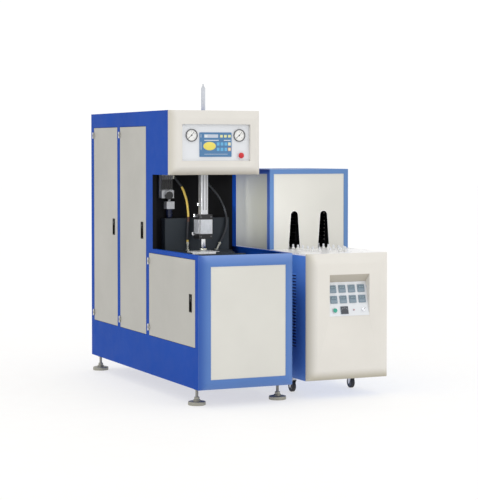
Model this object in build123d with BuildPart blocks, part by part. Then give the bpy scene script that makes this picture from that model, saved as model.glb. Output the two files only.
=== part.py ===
"""Semi-automatic stretch blow moulding machine: the blower and its preform oven, side by side on one floor.

Millimetres. X runs to the right, Y runs from the front to the rear and Z runs up from the floor.
The origin is on the floor, under the middle of both units together.
"""

import os
from math import atan2, cos, pi, radians, sin, tan

from build123d import *

os.makedirs("parts", exist_ok=True)

# Both units
sheet = 2.5
unit_gap = 120
moulding_depth = 48
fit_gap = 0.3

# Blower cabinet
blower_width = 684
blower_length = 2104
blower_height = 1964
body_lift = 115
side_depth = 30
rim_height = 1000
head_underside = 1520
head_setback = 526
left_bay_end = 815
bay_end = 912
bulkhead_sheet = 3
rear_louver_count = 10
rear_louver_pitch = 34
rear_louver_start = 445
rear_louver_rise = 16
rear_louver_inset = 132

# Base frame and feet of the blower
rail_size = 50
rail_wall = 4
cross_member_count = 4
foot_inset = 45
front_foot_setback = 130
rear_foot_setback = 75
pad_diameter = 118
pad_height = 28
stud_diameter = 20
nut_height = 14
nut_across_flats = 32

# Doors of the blower
door_gap = 3
door_depth = 18
front_post = 54
low_door_length = 830
post_width = 60
rear_post = 64
tall_door_difference = 10
door_bottom = 390
tall_door_head = 107
low_door_head = 32
door_handle_inset = 76
tall_handle_height = 1122
low_handle_height = 678

# Barrel hinges of the doors
hinge_length = 46
hinge_radius = 6.5
hinge_pin_radius = 2.5
hinge_leaf_width = 22
hinge_leaf = 2
hinge_end_inset = 56

# Flush door handles
handle_width = 46
handle_height = 120
handle_rim = 5
handle_proud = 2
handle_cup_depth = 16
handle_wall = 2
handle_grip_drop = 12

# Bevelled front mouldings of the blower
bevel_inset = 56
bevel_round = 26
moulding_step = 5
front_panel_side_inset = 70
front_panel_bottom = 185
front_panel_top = 928
front_panel_recess = 5
front_panel_thickness = 3

# Operator panel in the head
recess_side_inset = 87
recess_bottom = 1617
recess_top = 1868
recess_depth = 22
panel_plate = 3
gauge_spacing = 358
gauge_height = 1792
gauge_diameter = 86
gauge_case_depth = 34
gauge_proud = 9
gauge_rim_depth = 6
gauge_needle_angle = 130
screen_width = 240
screen_height = 168
screen_centre_height = 1728
screen_proud = 4
screen_case_depth = 18
stop_offset = 188
stop_height = 1653
stop_head_diameter = 40
stop_head_height = 14
stop_travel = 4
stop_collar_radius = 15
stop_collar_height = 8
stop_stem_radius = 8

# Stretch and seal cylinders in the bay
nozzle_setback = 715
stretch_profile = 53
stretch_bore_radius = 20
stretch_end_cap = 26
stretch_headroom = 64
stretch_bottom = 1241
stretch_stroke = 250
stretch_plate = 10
stretch_piston = 24
tail_radius = 15
tail_proud = 159
tail_tip_height = 30
stretch_rod_radius = 6
seal_profile = 103
seal_bore_radius = 40
seal_flange_height = 36
seal_block_bottom = 1105
seal_piston = 30
seal_rod_radius = 18
seal_stroke = 12
nozzle_radius = 24
nozzle_height = 14
nozzle_tip_radius = 15
nozzle_tip_height = 8

# Mould and clamp in the lower cabinet
mould_width = 182
mould_half_depth = 90
mould_height = 300
mould_top = 965
mould_clearance = 0.5
bottle_neck_radius = 12
bottle_radius = 42
bottle_shoulder = 30
platen_width = 370
rear_platen_width = 532
platen_height = 400
platen_drop = 35
platen_thickness = 32
clamp_stroke = 120
clamp_buffer = 40
tie_bar_radius = 13
tie_bar_inset = 22
tie_bar_spread = 150
tie_nut = 18
clamp_bore_radius = 60
clamp_wall = 12
clamp_piston = 30
clamp_cylinder_size = 150
clamp_cylinder_length = 190
clamp_rod_radius = 20
clamp_bed_height = 24
clamp_leg_size = 50

# Guard box, valves and hoses at the rear of the bay
guard_left = 105
guard_width = 490
guard_top = 1210
guard_bottom = 640
guard_depth = 72
valve_count = 5
valve_left = 84
valve_pitch = 17
valve_slot = 6
valve_depth = 56
valve_bottom = 1413
valve_top = 1516
manifold_depth = 20
manifold_drop = 52
regulator_left = 132
regulator_width = 92
regulator_drop = 61
regulator_knob_radius = 24
regulator_knob_length = 18
filter_left = 153
filter_height = 1302
filter_width = 58
filter_body = 52
bowl_radius = 21
bowl_length = 66
nipple_radius = 9
hose_radius = 8
left_union = 267
right_union = 489
union_length = 64
union_lean = 28
end_fitting = 14
black_fitting_right = 425
black_fitting_forward = 41

# Electric plate behind the rear door
electric_inset = 110
electric_width = 420
electric_bottom = 900
electric_top = 1850
device_margin = 60
breaker_height = 90
breaker_depth = 80
breaker_pitch = 220
controller_height = 150
controller_depth = 70
transformer_height = 200
transformer_depth = 110

# Oven cabinet
oven_width = 628
oven_length = 1203
oven_setback = 37
table_height = 986
oven_lift = 124
oven_moulding_depth = 47
oven_bevel_inset = 72
oven_bevel_round = 30
oven_front_wall = 20
table_thickness = 12
louver_count = 24
louver_pitch = 21
louver_drop = 138
louver_start = 143
louver_height = 12
louver_length = 250
louver_proud = 6

# Sloping control panel of the oven
control_width = 307
control_bottom = 548
control_knee = 788
control_top = 845
control_depth = 62
control_plate = 3
controller_size = 52
controller_pitch = 73
controller_first_row = 200
controller_proud = 6
controller_row_pitch = 73
button_row = 52
button_radius = 15
button_travel = 3
knob_radius = 13

# Lamp hood of the oven
hood_setback = 603
hood_top = 1555
hood_rail = 34
hood_post_depth = 42
hood_panel_recess = 3
arch_half_spacing = 117
arch_base_width = 96
arch_shoulder_width = 60
arch_shoulder_height = 243
arch_height = 272
lamp_count = 8
lamp_pitch = 27
lamp_first_height = 62
lamp_radius = 5
lamp_offset = 36
reflector_thickness = 3

# Preform conveyor
chain_front_setback = 300
chain_rear_setback = 1085
spindle_count = 30
spindle_base = 26
spindle_base_height = 14
spindle_stem = 15
spindle_height = 34
slot_width = 14
slot_depth = 6

# Castors of the oven
castor_wheel_radius = 40
castor_wheel_width = 26
castor_trail = 24
castor_side_inset = 81
castor_front_setback = 343
castor_rear_setback = 130
castor_plate = 6
castor_plate_size = 90
castor_crown = 5
castor_crown_clearance = 8
castor_pivot_radius = 14
castor_cheek = 3
castor_axle_radius = 6

# Places that follow from the sizes
left = -(blower_width + unit_gap + oven_width) / 2
right = left + blower_width
middle = left + blower_width / 2
tall_door_top = blower_height - tall_door_head
low_door_top = rim_height - low_door_head
stretch_top = blower_height - stretch_headroom
tail_top = blower_height + tail_proud
bottle_height = stretch_stroke
front = -(blower_length + moulding_depth) / 2 + moulding_depth
rear = front + blower_length
roof = blower_height - sheet
axis_y = front + nozzle_setback
bulkhead = front + bay_end
oven_left = right + unit_gap
oven_right = oven_left + oven_width
oven_middle = oven_left + oven_width / 2
oven_front = front + oven_setback
oven_rear = oven_front + oven_length
low_door_front = front + front_post
low_door_rear = low_door_front + low_door_length
middle_door_front = low_door_rear + post_width
tall_door_room = rear - rear_post - post_width - middle_door_front
middle_door_rear = middle_door_front + (tall_door_room + tall_door_difference) / 2
rear_door_front = middle_door_rear + post_width
rear_door_rear = rear - rear_post
inside_left = left + side_depth
inside_right = right - side_depth


def finish(piece, label):
    """Name a finished piece and write it to its own file."""
    piece.part.label = label
    export_step(piece.part, f"parts/{label}.step")


def block(x_span, y_span, z_span, mode=Mode.ADD):
    """Box between two values on each axis, joined to or cut from the piece in hand."""
    spans = (x_span, y_span, z_span)
    with Locations(tuple((low + high) / 2 for low, high in spans)):
        Box(*(high - low for low, high in spans), mode=mode)


def span(centre, size):
    """The two ends of a length that lies evenly about its centre."""
    return (centre - size / 2, centre + size / 2)


def area(y_span, z_span, grow=0, mode=Mode.ADD):
    """Rectangle on a YZ sketch between two values on each axis, grown all round by one amount."""
    with Locations(((y_span[0] + y_span[1]) / 2, (z_span[0] + z_span[1]) / 2)):
        Rectangle(y_span[1] - y_span[0] + 2 * grow, z_span[1] - z_span[0] + 2 * grow, mode=mode)


def side_sheet(skin_x, inward, areas, openings, depth):
    """Folded side sheet: a flat skin with a return round its edge and round every opening."""
    with BuildPart() as folded:
        with BuildSketch(Plane.YZ.offset(skin_x)):
            for y_span, z_span in areas:
                area(y_span, z_span)
            for y_span, z_span in openings:
                area(y_span, z_span, mode=Mode.SUBTRACT)
        extrude(amount=inward * depth)
        with BuildSketch(Plane.YZ.offset(skin_x + inward * sheet)) as hollow:
            for y_span, z_span in areas:
                area(y_span, z_span)
            for y_span, z_span in openings:
                area(y_span, z_span, mode=Mode.SUBTRACT)
            offset(amount=-sheet, kind=Kind.INTERSECTION, mode=Mode.REPLACE)
        extrude(amount=inward * (depth - sheet), mode=Mode.SUBTRACT)
    return folded


# Left side of the blower: one folded sheet round the two tall doors, the bay and the head, one round the low door.
tall_openings = [
    ((middle_door_front - door_gap, middle_door_rear + door_gap), (door_bottom - door_gap, tall_door_top + door_gap)),
    ((rear_door_front - door_gap, rear_door_rear + door_gap), (door_bottom - door_gap, tall_door_top + door_gap)),
]
low_opening = ((low_door_front - door_gap, low_door_rear + door_gap), (door_bottom - door_gap, low_door_top + door_gap))
tall_side_start = low_opening[0][1]
tall_side_left = side_sheet(
    left,
    1,
    [
        ((tall_side_start, rear), (body_lift, roof)),
        ((front + left_bay_end, tall_side_start), (rim_height, roof)),
        ((front + head_setback, tall_side_start), (head_underside, roof)),
    ],
    tall_openings,
    side_depth,
)
finish(tall_side_left, "tall_side_left")

low_side_left = side_sheet(
    left,
    1,
    [
        ((front, tall_side_start), (body_lift, low_opening[1][0])),
        ((front, low_opening[0][0]), (body_lift, rim_height)),
        ((front, tall_side_start), (low_opening[1][1], rim_height)),
    ],
    [],
    side_depth,
)
finish(low_side_left, "low_side_left")

# Right side of the blower: one plain folded sheet, cut out round the bay's open side.
right_side = side_sheet(
    right,
    -1,
    [
        ((bulkhead, rear), (body_lift, roof)),
        ((front, bulkhead), (body_lift, rim_height)),
        ((front + head_setback, bulkhead), (head_underside, roof)),
    ],
    [],
    side_depth,
)
finish(right_side, "right_side")

# Roof sheet, with the hole that the tail of the stretch cylinder passes through.
with BuildPart() as roof_sheet:
    block((left, right), (front + head_setback, rear), (roof, blower_height))
    with BuildSketch(Plane.XY.offset(roof)):
        with Locations((middle, axis_y)):
            Circle(tail_radius + 4)
    extrude(amount=sheet, mode=Mode.SUBTRACT)
finish(roof_sheet, "roof_sheet")

# Rear sheet with a bank of pressed louvers.
with BuildPart() as rear_sheet:
    block((inside_left, inside_right), (rear - sheet, rear), (body_lift, roof))
    rear_louver_z = [body_lift + rear_louver_start + rear_louver_pitch * step for step in range(rear_louver_count)]
    with BuildSketch(Plane.YZ.offset(left + rear_louver_inset)):
        with Locations(*[(rear, z) for z in rear_louver_z]):
            Polygon((0, 0), (louver_proud, 0), (0, rear_louver_rise), align=None)
    extrude(amount=blower_width - 2 * rear_louver_inset)
finish(rear_sheet, "rear_sheet")

# Welded base frame of square tube, with a floor sheet laid on it.
with BuildPart() as base_frame:
    for rail_start in (inside_left, inside_right - rail_size):
        block((rail_start, rail_start + rail_size), (front + sheet, rear - sheet), (body_lift, body_lift + rail_size))
    cross_run = blower_length - 2 * sheet - rail_size
    for step in range(cross_member_count):
        cross_y = front + sheet + cross_run * step / (cross_member_count - 1)
        block(
            (inside_left + rail_size, inside_right - rail_size),
            (cross_y, cross_y + rail_size),
            (body_lift, body_lift + rail_size),
        )
    for rail_start in (inside_left, inside_right - rail_size):
        block(
            (rail_start + rail_wall, rail_start + rail_size - rail_wall),
            (front + sheet, rear - sheet),
            (body_lift + rail_wall, body_lift + rail_size - rail_wall),
            mode=Mode.SUBTRACT,
        )
    floor_z = body_lift + rail_size
    block((inside_left, inside_right), (front, rear - sheet), (floor_z, floor_z + sheet))
finish(base_frame, "base_frame")

# Dark lining of the bay: the bulkhead in front of the tall cabinet and the underside of the head.
deck_z = floor_z + sheet
with BuildPart() as bay_lining:
    block((inside_left, inside_right), (bulkhead, bulkhead + bulkhead_sheet), (deck_z, roof))
    block((inside_left, inside_right), (front + head_setback, bulkhead), (head_underside, head_underside + sheet))
    with BuildSketch(Plane.XY.offset(head_underside)):
        with Locations((middle, axis_y)):
            Rectangle(stretch_profile + 2 * fit_gap, stretch_profile + 2 * fit_gap)
    extrude(amount=sheet, mode=Mode.SUBTRACT)
finish(bay_lining, "bay_lining")


def bevelled_moulding(plane_y, x_span, z_span, depth, inset, rounding):
    """Front moulding: a short straight step, then four mitred bevels up to a smaller, rounded front face."""
    width = x_span[1] - x_span[0]
    height = z_span[1] - z_span[0]
    centre = ((x_span[0] + x_span[1]) / 2, plane_y, (z_span[0] + z_span[1]) / 2)
    face = Plane(origin=centre, x_dir=(1, 0, 0), z_dir=(0, -1, 0))
    with BuildPart() as moulding:
        with BuildSketch(face):
            Rectangle(width, height)
        extrude(amount=moulding_step)
        with BuildSketch(face.offset(moulding_step)):
            Rectangle(width, height)
        with BuildSketch(face.offset(depth)):
            Rectangle(width - 2 * inset, height - 2 * inset)
        loft()
        fillet(moulding.faces().sort_by(Axis.Y)[0].edges(), rounding)
    return moulding


# Blue bevelled frame on the low front, and the flat cream panel that sits in it.
low_frame = bevelled_moulding(
    front,
    (left, right),
    (body_lift, rim_height),
    moulding_depth,
    bevel_inset,
    bevel_round,
)
panel_x = (left + front_panel_side_inset, right - front_panel_side_inset)
panel_front = front - moulding_depth
with BuildPart() as front_moulding:
    add(low_frame.part)
    block(
        (panel_x[0] - 1, panel_x[1] + 1),
        (panel_front, panel_front + front_panel_recess + 0.5),
        (front_panel_bottom - 1, front_panel_top + 1),
        mode=Mode.SUBTRACT,
    )
finish(front_moulding, "front_moulding")

with BuildPart() as front_panel:
    block(
        panel_x,
        (panel_front + front_panel_recess + 0.5 - front_panel_thickness, panel_front + front_panel_recess + 0.5),
        (front_panel_bottom, front_panel_top),
    )
finish(front_panel, "front_panel")

# Cream moulding of the head, with the window that the operator panel closes.
head_front = front + head_setback
recess_x = (left + recess_side_inset, right - recess_side_inset)
head_frame = bevelled_moulding(
    head_front,
    (left, right),
    (head_underside, blower_height),
    moulding_depth,
    bevel_inset,
    bevel_round,
)
with BuildPart() as head_moulding:
    add(head_frame.part)
    block(
        recess_x,
        (head_front - moulding_depth, head_front),
        (recess_bottom, recess_top),
        mode=Mode.SUBTRACT,
    )
finish(head_moulding, "head_moulding")

panel_face = head_front - moulding_depth + recess_depth
gauge_places = [middle - gauge_spacing / 2, middle + gauge_spacing / 2]
with BuildPart() as operator_panel:
    block(recess_x, (panel_face, panel_face + panel_plate), (recess_bottom, recess_top))
    front_of_panel = Plane(origin=(middle, panel_face, 0), x_dir=(1, 0, 0), z_dir=(0, -1, 0))
    with BuildSketch(front_of_panel):
        with Locations(*[(x - middle, gauge_height) for x in gauge_places]):
            Circle(gauge_diameter / 2 - 4)
        with Locations((stop_offset, stop_height)):
            Circle(stop_stem_radius + fit_gap)
        with Locations((0, screen_centre_height)):
            Rectangle(screen_width - 16, screen_height - 16)
    extrude(amount=-panel_plate, mode=Mode.SUBTRACT)
    with BuildSketch(front_of_panel):
        with Locations((stop_offset, stop_height)):
            Circle(stop_collar_radius)
            Circle(stop_stem_radius + fit_gap, mode=Mode.SUBTRACT)
    extrude(amount=stop_collar_height)
finish(operator_panel, "operator_panel")

# Two pressure gauges: a deep case behind the panel, a rim in front of it and a dial inside the rim.
with BuildPart() as gauges:
    with BuildSketch(front_of_panel):
        with Locations(*[(x - middle, gauge_height) for x in gauge_places]):
            Circle(gauge_diameter / 2)
    extrude(amount=gauge_proud)
    with BuildSketch(front_of_panel):
        with Locations(*[(x - middle, gauge_height) for x in gauge_places]):
            Circle(gauge_diameter / 2 - 4 - fit_gap)
    extrude(amount=-gauge_case_depth)
    with BuildSketch(front_of_panel.offset(gauge_proud)):
        with Locations(*[(x - middle, gauge_height) for x in gauge_places]):
            Circle(gauge_diameter / 2 - 4)
    extrude(amount=-gauge_rim_depth, mode=Mode.SUBTRACT)
    with BuildSketch(front_of_panel.offset(gauge_proud - gauge_rim_depth)):
        for x in gauge_places:
            with Locations(Location((x - middle, gauge_height, 0), (0, 0, gauge_needle_angle))):
                Circle(gauge_diameter / 16)
                Trapezoid(gauge_diameter * 0.38, 3, 88, rotation=90, align=(Align.MIN, Align.CENTER))
    extrude(amount=1.2)
finish(gauges, "pressure_gauges")

# Membrane keypad and display unit.
with BuildPart() as display_unit:
    with BuildSketch(front_of_panel):
        with Locations((0, screen_centre_height)):
            RectangleRounded(screen_width, screen_height, 4)
    extrude(amount=screen_proud)
    with BuildSketch(front_of_panel):
        with Locations((0, screen_centre_height)):
            Rectangle(screen_width - 16 - 2 * fit_gap, screen_height - 16 - 2 * fit_gap)
    extrude(amount=-screen_case_depth)
finish(display_unit, "display_unit")

# Emergency stop: a red mushroom head on a stem that slides in the collar of the panel.
stop_centre = (middle + stop_offset, panel_face, stop_height)
stop_under = stop_collar_height + stop_travel + 0.5
stop_plane = Plane(origin=stop_centre, x_dir=(1, 0, 0), z_dir=(0, -1, 0))
with BuildPart() as stop_button:
    with BuildSketch(stop_plane.offset(stop_under)):
        Circle(stop_head_diameter / 2)
    extrude(amount=stop_head_height)
    chamfer(stop_button.edges().sort_by(Axis.Y)[0], stop_head_height / 2)
    with BuildSketch(stop_plane.offset(-panel_plate - 10)):
        Circle(stop_stem_radius)
    extrude(amount=panel_plate + 10 + stop_under)
finish(stop_button, "stop_button")


def door(label, y_span, z_span, handle_z):
    """Folded door sheet with its two hinge leaves and knuckles, and a cut-out that the flush handle sits in."""
    handle_y = y_span[0] + door_handle_inset
    cut_out = (span(handle_y, handle_width - 2 * handle_rim), span(handle_z, handle_height - 2 * handle_rim))
    leaf_pan = side_sheet(left, 1, [(y_span, z_span)], [cut_out], door_depth)
    with BuildPart() as leaf:
        add(leaf_pan.part)
        for hinge_z in (z_span[0] + hinge_end_inset, z_span[1] - hinge_end_inset):
            middle_knuckle = span(hinge_z, hinge_length / 3 - 2 * fit_gap)
            block((left - hinge_leaf, left), (y_span[1] - hinge_leaf_width, y_span[1] + 0.5), middle_knuckle)
            with BuildSketch(Plane.XY.offset(middle_knuckle[0])):
                with Locations((hinge_axis_x, y_span[1] + hinge_offset)):
                    RegularPolygon(hinge_radius, 10)
            extrude(amount=middle_knuckle[1] - middle_knuckle[0])
            with BuildSketch(Plane.XY.offset(middle_knuckle[0])):
                with Locations((hinge_axis_x, y_span[1] + hinge_offset)):
                    Circle(hinge_pin_radius + fit_gap)
            extrude(amount=middle_knuckle[1] - middle_knuckle[0], mode=Mode.SUBTRACT)
    finish(leaf, label)
    with BuildPart() as handle:
        block(
            (left - handle_proud, left), span(handle_y, handle_width), span(handle_z, handle_height)
        )
        fillet(handle.edges().filter_by(Axis.X), 4)
        block((left, left + handle_cup_depth), cut_out[0], cut_out[1])
        block(
            (left - handle_proud, left + handle_cup_depth - handle_wall),
            span(handle_y, handle_width - 2 * handle_rim - 2 * handle_wall),
            span(handle_z, handle_height - 2 * handle_rim - 2 * handle_wall),
            mode=Mode.SUBTRACT,
        )
        block(
            (left - handle_proud, left + 2),
            span(handle_y, handle_width - 2 * handle_rim),
            (handle_z + handle_grip_drop, handle_z + handle_height / 2 - handle_rim),
        )
    finish(handle, f"{label}_handle")


# Three sheet doors on the left side, hung at their rear edges.
hinge_axis_x = left - hinge_radius - 0.5
hinge_offset = door_gap / 2
doors = [
    ("rear_door", (rear_door_front, rear_door_rear), (door_bottom, tall_door_top), tall_handle_height),
    ("middle_door", (middle_door_front, middle_door_rear), (door_bottom, tall_door_top), tall_handle_height),
    ("low_door", (low_door_front, low_door_rear), (door_bottom, low_door_top), low_handle_height),
]
for label, y_span, z_span, handle_z in doors:
    door(label, y_span, z_span, handle_z)

# Fixed halves of the six hinges: a leaf on the side sheet, two end knuckles and the pin through them.
with BuildPart() as hinges:
    for label, y_span, z_span, handle_z in doors:
        axis_at = (hinge_axis_x, y_span[1] + hinge_offset)
        for hinge_z in (z_span[0] + hinge_end_inset, z_span[1] - hinge_end_inset):
            start = hinge_z - hinge_length / 2
            third = hinge_length / 3
            for knuckle_start in (start, start + 2 * third):
                with BuildSketch(Plane.XY.offset(knuckle_start)):
                    with Locations(axis_at):
                        RegularPolygon(hinge_radius, 10)
                extrude(amount=third)
                block(
                    (left - hinge_leaf, left),
                    (y_span[1] + door_gap - 0.5, y_span[1] + hinge_leaf_width + door_gap),
                    (knuckle_start, knuckle_start + third),
                )
            block(
                (left - hinge_leaf, left),
                (y_span[1] + hinge_radius + hinge_offset + 1, y_span[1] + hinge_leaf_width + door_gap),
                (start, start + hinge_length),
            )
            with BuildSketch(Plane.XY.offset(start)):
                with Locations(axis_at):
                    RegularPolygon(hinge_pin_radius, 8)
            extrude(amount=hinge_length)
finish(hinges, "hinge_halves")

# Four levelling feet: round pads, and threaded studs with a lock nut under the base rails.
foot_places = [
    (x, y)
    for x in (left + foot_inset, right - foot_inset)
    for y in (front + front_foot_setback, rear - rear_foot_setback)
]
with BuildPart() as foot_pads:
    with BuildSketch():
        with Locations(*foot_places):
            Circle(pad_diameter / 2)
    extrude(amount=pad_height * 0.55)
    with BuildSketch(Plane.XY.offset(pad_height * 0.55)):
        with Locations(*foot_places):
            Circle(pad_diameter / 2 - 4)
    extrude(amount=pad_height * 0.45, taper=42)
finish(foot_pads, "foot_pads")

with BuildPart() as foot_studs:
    with BuildSketch(Plane.XY.offset(pad_height)):
        with Locations(*foot_places):
            Circle(stud_diameter / 2)
    extrude(amount=body_lift - pad_height)
    with BuildSketch(Plane.XY.offset(body_lift - nut_height)):
        with Locations(*foot_places):
            RegularPolygon(nut_across_flats / 2, 6, major_radius=False)
    extrude(amount=nut_height)
    with BuildSketch(Plane.XY.offset(pad_height)):
        with Locations(*foot_places):
            RegularPolygon(nut_across_flats / 2, 6, major_radius=False)
    extrude(amount=nut_height)
finish(foot_studs, "foot_studs")

# Stretch cylinder: a square profile tube with two end caps, and a plate that rests on the underside of the head.
stretch_inside = (stretch_bottom + stretch_end_cap, stretch_top - stretch_end_cap)
with BuildPart() as stretch_cylinder:
    with BuildSketch(Plane.XY.offset(stretch_bottom)):
        with Locations((middle, axis_y)):
            RectangleRounded(stretch_profile, stretch_profile, 5)
    extrude(amount=stretch_top - stretch_bottom)
    block(
        span(middle, seal_profile),
        span(axis_y, seal_profile),
        (head_underside + sheet, head_underside + sheet + stretch_plate),
    )
    with BuildSketch(Plane.XY.offset(stretch_inside[0])):
        with Locations((middle, axis_y)):
            Circle(stretch_bore_radius)
    extrude(amount=stretch_inside[1] - stretch_inside[0], mode=Mode.SUBTRACT)
    with BuildSketch(Plane.XY.offset(stretch_inside[1])):
        with Locations((middle, axis_y)):
            Circle(tail_radius + fit_gap)
    extrude(amount=stretch_end_cap, mode=Mode.SUBTRACT)
    with BuildSketch(Plane.XY.offset(stretch_bottom)):
        with Locations((middle, axis_y)):
            Circle(stretch_rod_radius + fit_gap)
    extrude(amount=stretch_end_cap, mode=Mode.SUBTRACT)
finish(stretch_cylinder, "stretch_cylinder")

# Stretch rod: thin rod below, piston in the tube and thick tail above, which stands out of the roof.
piston_top = stretch_inside[1] - 1
piston_bottom = piston_top - stretch_piston
nozzle_bottom = mould_top + seal_stroke + 2
with BuildPart() as stretch_rod:
    with BuildSketch(Plane(origin=(middle, axis_y, 0), x_dir=(1, 0, 0), z_dir=(0, -1, 0))):
        with BuildLine():
            Polyline(
                (0, nozzle_bottom + 4),
                (stretch_rod_radius - 2, nozzle_bottom + 4),
                (stretch_rod_radius, nozzle_bottom + 8),
                (stretch_rod_radius, piston_bottom),
                (stretch_bore_radius - fit_gap, piston_bottom),
                (stretch_bore_radius - fit_gap, piston_top),
                (tail_radius, piston_top),
                (tail_radius, tail_top),
                (5, tail_top + tail_tip_height * 0.6),
                (5, tail_top + tail_tip_height),
                (0, tail_top + tail_tip_height),
                close=True,
            )
        make_face()
    revolve(axis=Axis((middle, axis_y, 0), (0, 0, 1)))
finish(stretch_rod, "stretch_rod")

# Seal cylinder: square body with a plain bore, between two black caps.
seal_block_top = stretch_bottom - seal_flange_height
with BuildPart() as seal_cylinder:
    with BuildSketch(Plane.XY.offset(seal_block_bottom)):
        with Locations((middle, axis_y)):
            RectangleRounded(seal_profile, seal_profile, 9)
            Circle(seal_bore_radius, mode=Mode.SUBTRACT)
    extrude(amount=seal_block_top - seal_block_bottom)
finish(seal_cylinder, "seal_cylinder")

with BuildPart() as seal_caps:
    for cap_z, hole in (
        (seal_block_top, stretch_rod_radius + fit_gap),
        (seal_block_bottom - seal_flange_height, seal_rod_radius + fit_gap),
    ):
        with BuildSketch(Plane.XY.offset(cap_z)):
            with Locations((middle, axis_y)):
                RectangleRounded(seal_profile, seal_profile, 9)
                Circle(hole, mode=Mode.SUBTRACT)
        extrude(amount=seal_flange_height)
finish(seal_caps, "seal_caps")

# Seal rod: hollow piston rod that carries the blow nozzle down on to the neck of the preform.
seal_piston_top = seal_block_top - 1
with BuildPart() as seal_rod:
    with BuildSketch(Plane(origin=(middle, axis_y, 0), x_dir=(1, 0, 0), z_dir=(0, -1, 0))):
        with BuildLine():
            Polyline(
                (stretch_rod_radius + fit_gap, nozzle_bottom),
                (nozzle_tip_radius, nozzle_bottom),
                (nozzle_tip_radius, nozzle_bottom + nozzle_tip_height),
                (nozzle_radius, nozzle_bottom + nozzle_tip_height),
                (nozzle_radius, nozzle_bottom + nozzle_tip_height + nozzle_height),
                (seal_rod_radius, nozzle_bottom + nozzle_tip_height + nozzle_height + 4),
                (seal_rod_radius, seal_piston_top - seal_piston),
                (seal_bore_radius - fit_gap, seal_piston_top - seal_piston),
                (seal_bore_radius - fit_gap, seal_piston_top),
                (stretch_rod_radius + fit_gap, seal_piston_top),
                close=True,
            )
        make_face()
    revolve(axis=Axis((middle, axis_y, 0), (0, 0, 1)))
finish(seal_rod, "seal_rod")


def mould_half(label, side):
    """Half of a two-part bottle mould: a block with half of the bottle turned out of its parting face."""
    face_y = axis_y + side * mould_clearance / 2
    back_y = axis_y + side * mould_half_depth
    with BuildPart() as half:
        block(
            span(middle, mould_width), (min(face_y, back_y), max(face_y, back_y)), (mould_top - mould_height, mould_top)
        )
        with BuildSketch(Plane(origin=(middle, axis_y, mould_top), x_dir=(1, 0, 0), z_dir=(0, -1, 0))):
            with BuildLine():
                Polyline(
                    (0, -bottle_height),
                    (bottle_radius - 6, -bottle_height),
                    (bottle_radius, -bottle_height + 8),
                    (bottle_radius, -bottle_shoulder - 40),
                )
                ThreePointArc(
                    (bottle_radius, -bottle_shoulder - 40),
                    (bottle_radius - 9, -bottle_shoulder - 16),
                    (bottle_neck_radius, -bottle_shoulder),
                )
                Polyline((bottle_neck_radius, -bottle_shoulder), (bottle_neck_radius, 0), (0, 0), (0, -bottle_height))
            make_face()
        revolve(axis=Axis((middle, axis_y, 0), (0, 0, 1)), mode=Mode.SUBTRACT)
    finish(half, label)


# Two mould halves that part along Y: the rear one is fixed and the front one rides on the moving platen.
mould_half("mould_rear", 1)
mould_half("mould_front", -1)

# Clamp: a rear platen, a moving platen on four tie bars, and an end plate with the pneumatic cylinder.
platen_bottom = mould_top - mould_height - (platen_height - mould_height) / 2 - platen_drop
platen_span = (platen_bottom, platen_bottom + platen_height)
bar_places = [
    (x, z)
    for x in (-tie_bar_spread, tie_bar_spread)
    for z in (platen_span[0] + tie_bar_inset, platen_span[1] - tie_bar_inset)
]
rear_platen_y = axis_y + mould_half_depth
moving_platen_y = axis_y - mould_half_depth - platen_thickness
end_plate_y = moving_platen_y - clamp_stroke - clamp_buffer - platen_thickness
across = Plane(origin=(middle, moving_platen_y, 0), x_dir=(1, 0, 0), z_dir=(0, -1, 0))
rod_z = (platen_span[0] + platen_span[1]) / 2
with BuildPart() as moving_platen:
    block(
        span(middle, platen_width),
        (moving_platen_y, moving_platen_y + platen_thickness),
        (platen_span[0] + 1, platen_span[1]),
    )
    with BuildSketch(across):
        with Locations(*bar_places):
            Circle(tie_bar_radius + fit_gap)
    extrude(amount=-platen_thickness, mode=Mode.SUBTRACT)
finish(moving_platen, "moving_platen")

cylinder_back = end_plate_y - clamp_cylinder_length
with BuildPart() as clamp_cylinder:
    block(span(middle, platen_width), (end_plate_y, end_plate_y + platen_thickness), platen_span)
    block(span(middle, clamp_cylinder_size), (cylinder_back, end_plate_y), span(rod_z, clamp_cylinder_size))
    with BuildSketch(across.offset(moving_platen_y - end_plate_y)):
        with Locations((0, rod_z)):
            Circle(clamp_bore_radius)
    extrude(amount=clamp_cylinder_length - clamp_wall, mode=Mode.SUBTRACT)
    with BuildSketch(across.offset(moving_platen_y - end_plate_y - platen_thickness)):
        with Locations((0, rod_z)):
            Circle(clamp_rod_radius + fit_gap)
    extrude(amount=platen_thickness, mode=Mode.SUBTRACT)
finish(clamp_cylinder, "clamp_cylinder")

with BuildPart() as clamp_rod:
    with BuildSketch(across):
        with Locations((0, rod_z)):
            Circle(clamp_rod_radius)
    extrude(amount=moving_platen_y - end_plate_y + 1)
    with BuildSketch(across.offset(moving_platen_y - end_plate_y + 1)):
        with Locations((0, rod_z)):
            Circle(clamp_bore_radius - fit_gap)
    extrude(amount=clamp_piston)
finish(clamp_rod, "clamp_rod")

with BuildPart() as clamp_frame:
    block(span(middle, rear_platen_width), (rear_platen_y, rear_platen_y + platen_thickness), platen_span)
    with BuildSketch(across.offset(-platen_thickness - 2 * mould_half_depth)):
        with Locations(*bar_places):
            Circle(tie_bar_radius)
    extrude(amount=rear_platen_y - end_plate_y - platen_thickness)
    with BuildSketch(across.offset(moving_platen_y - end_plate_y)):
        with Locations(*bar_places):
            RegularPolygon(tie_bar_radius * 1.6, 6)
    extrude(amount=tie_nut)
finish(clamp_frame, "clamp_frame")

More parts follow.
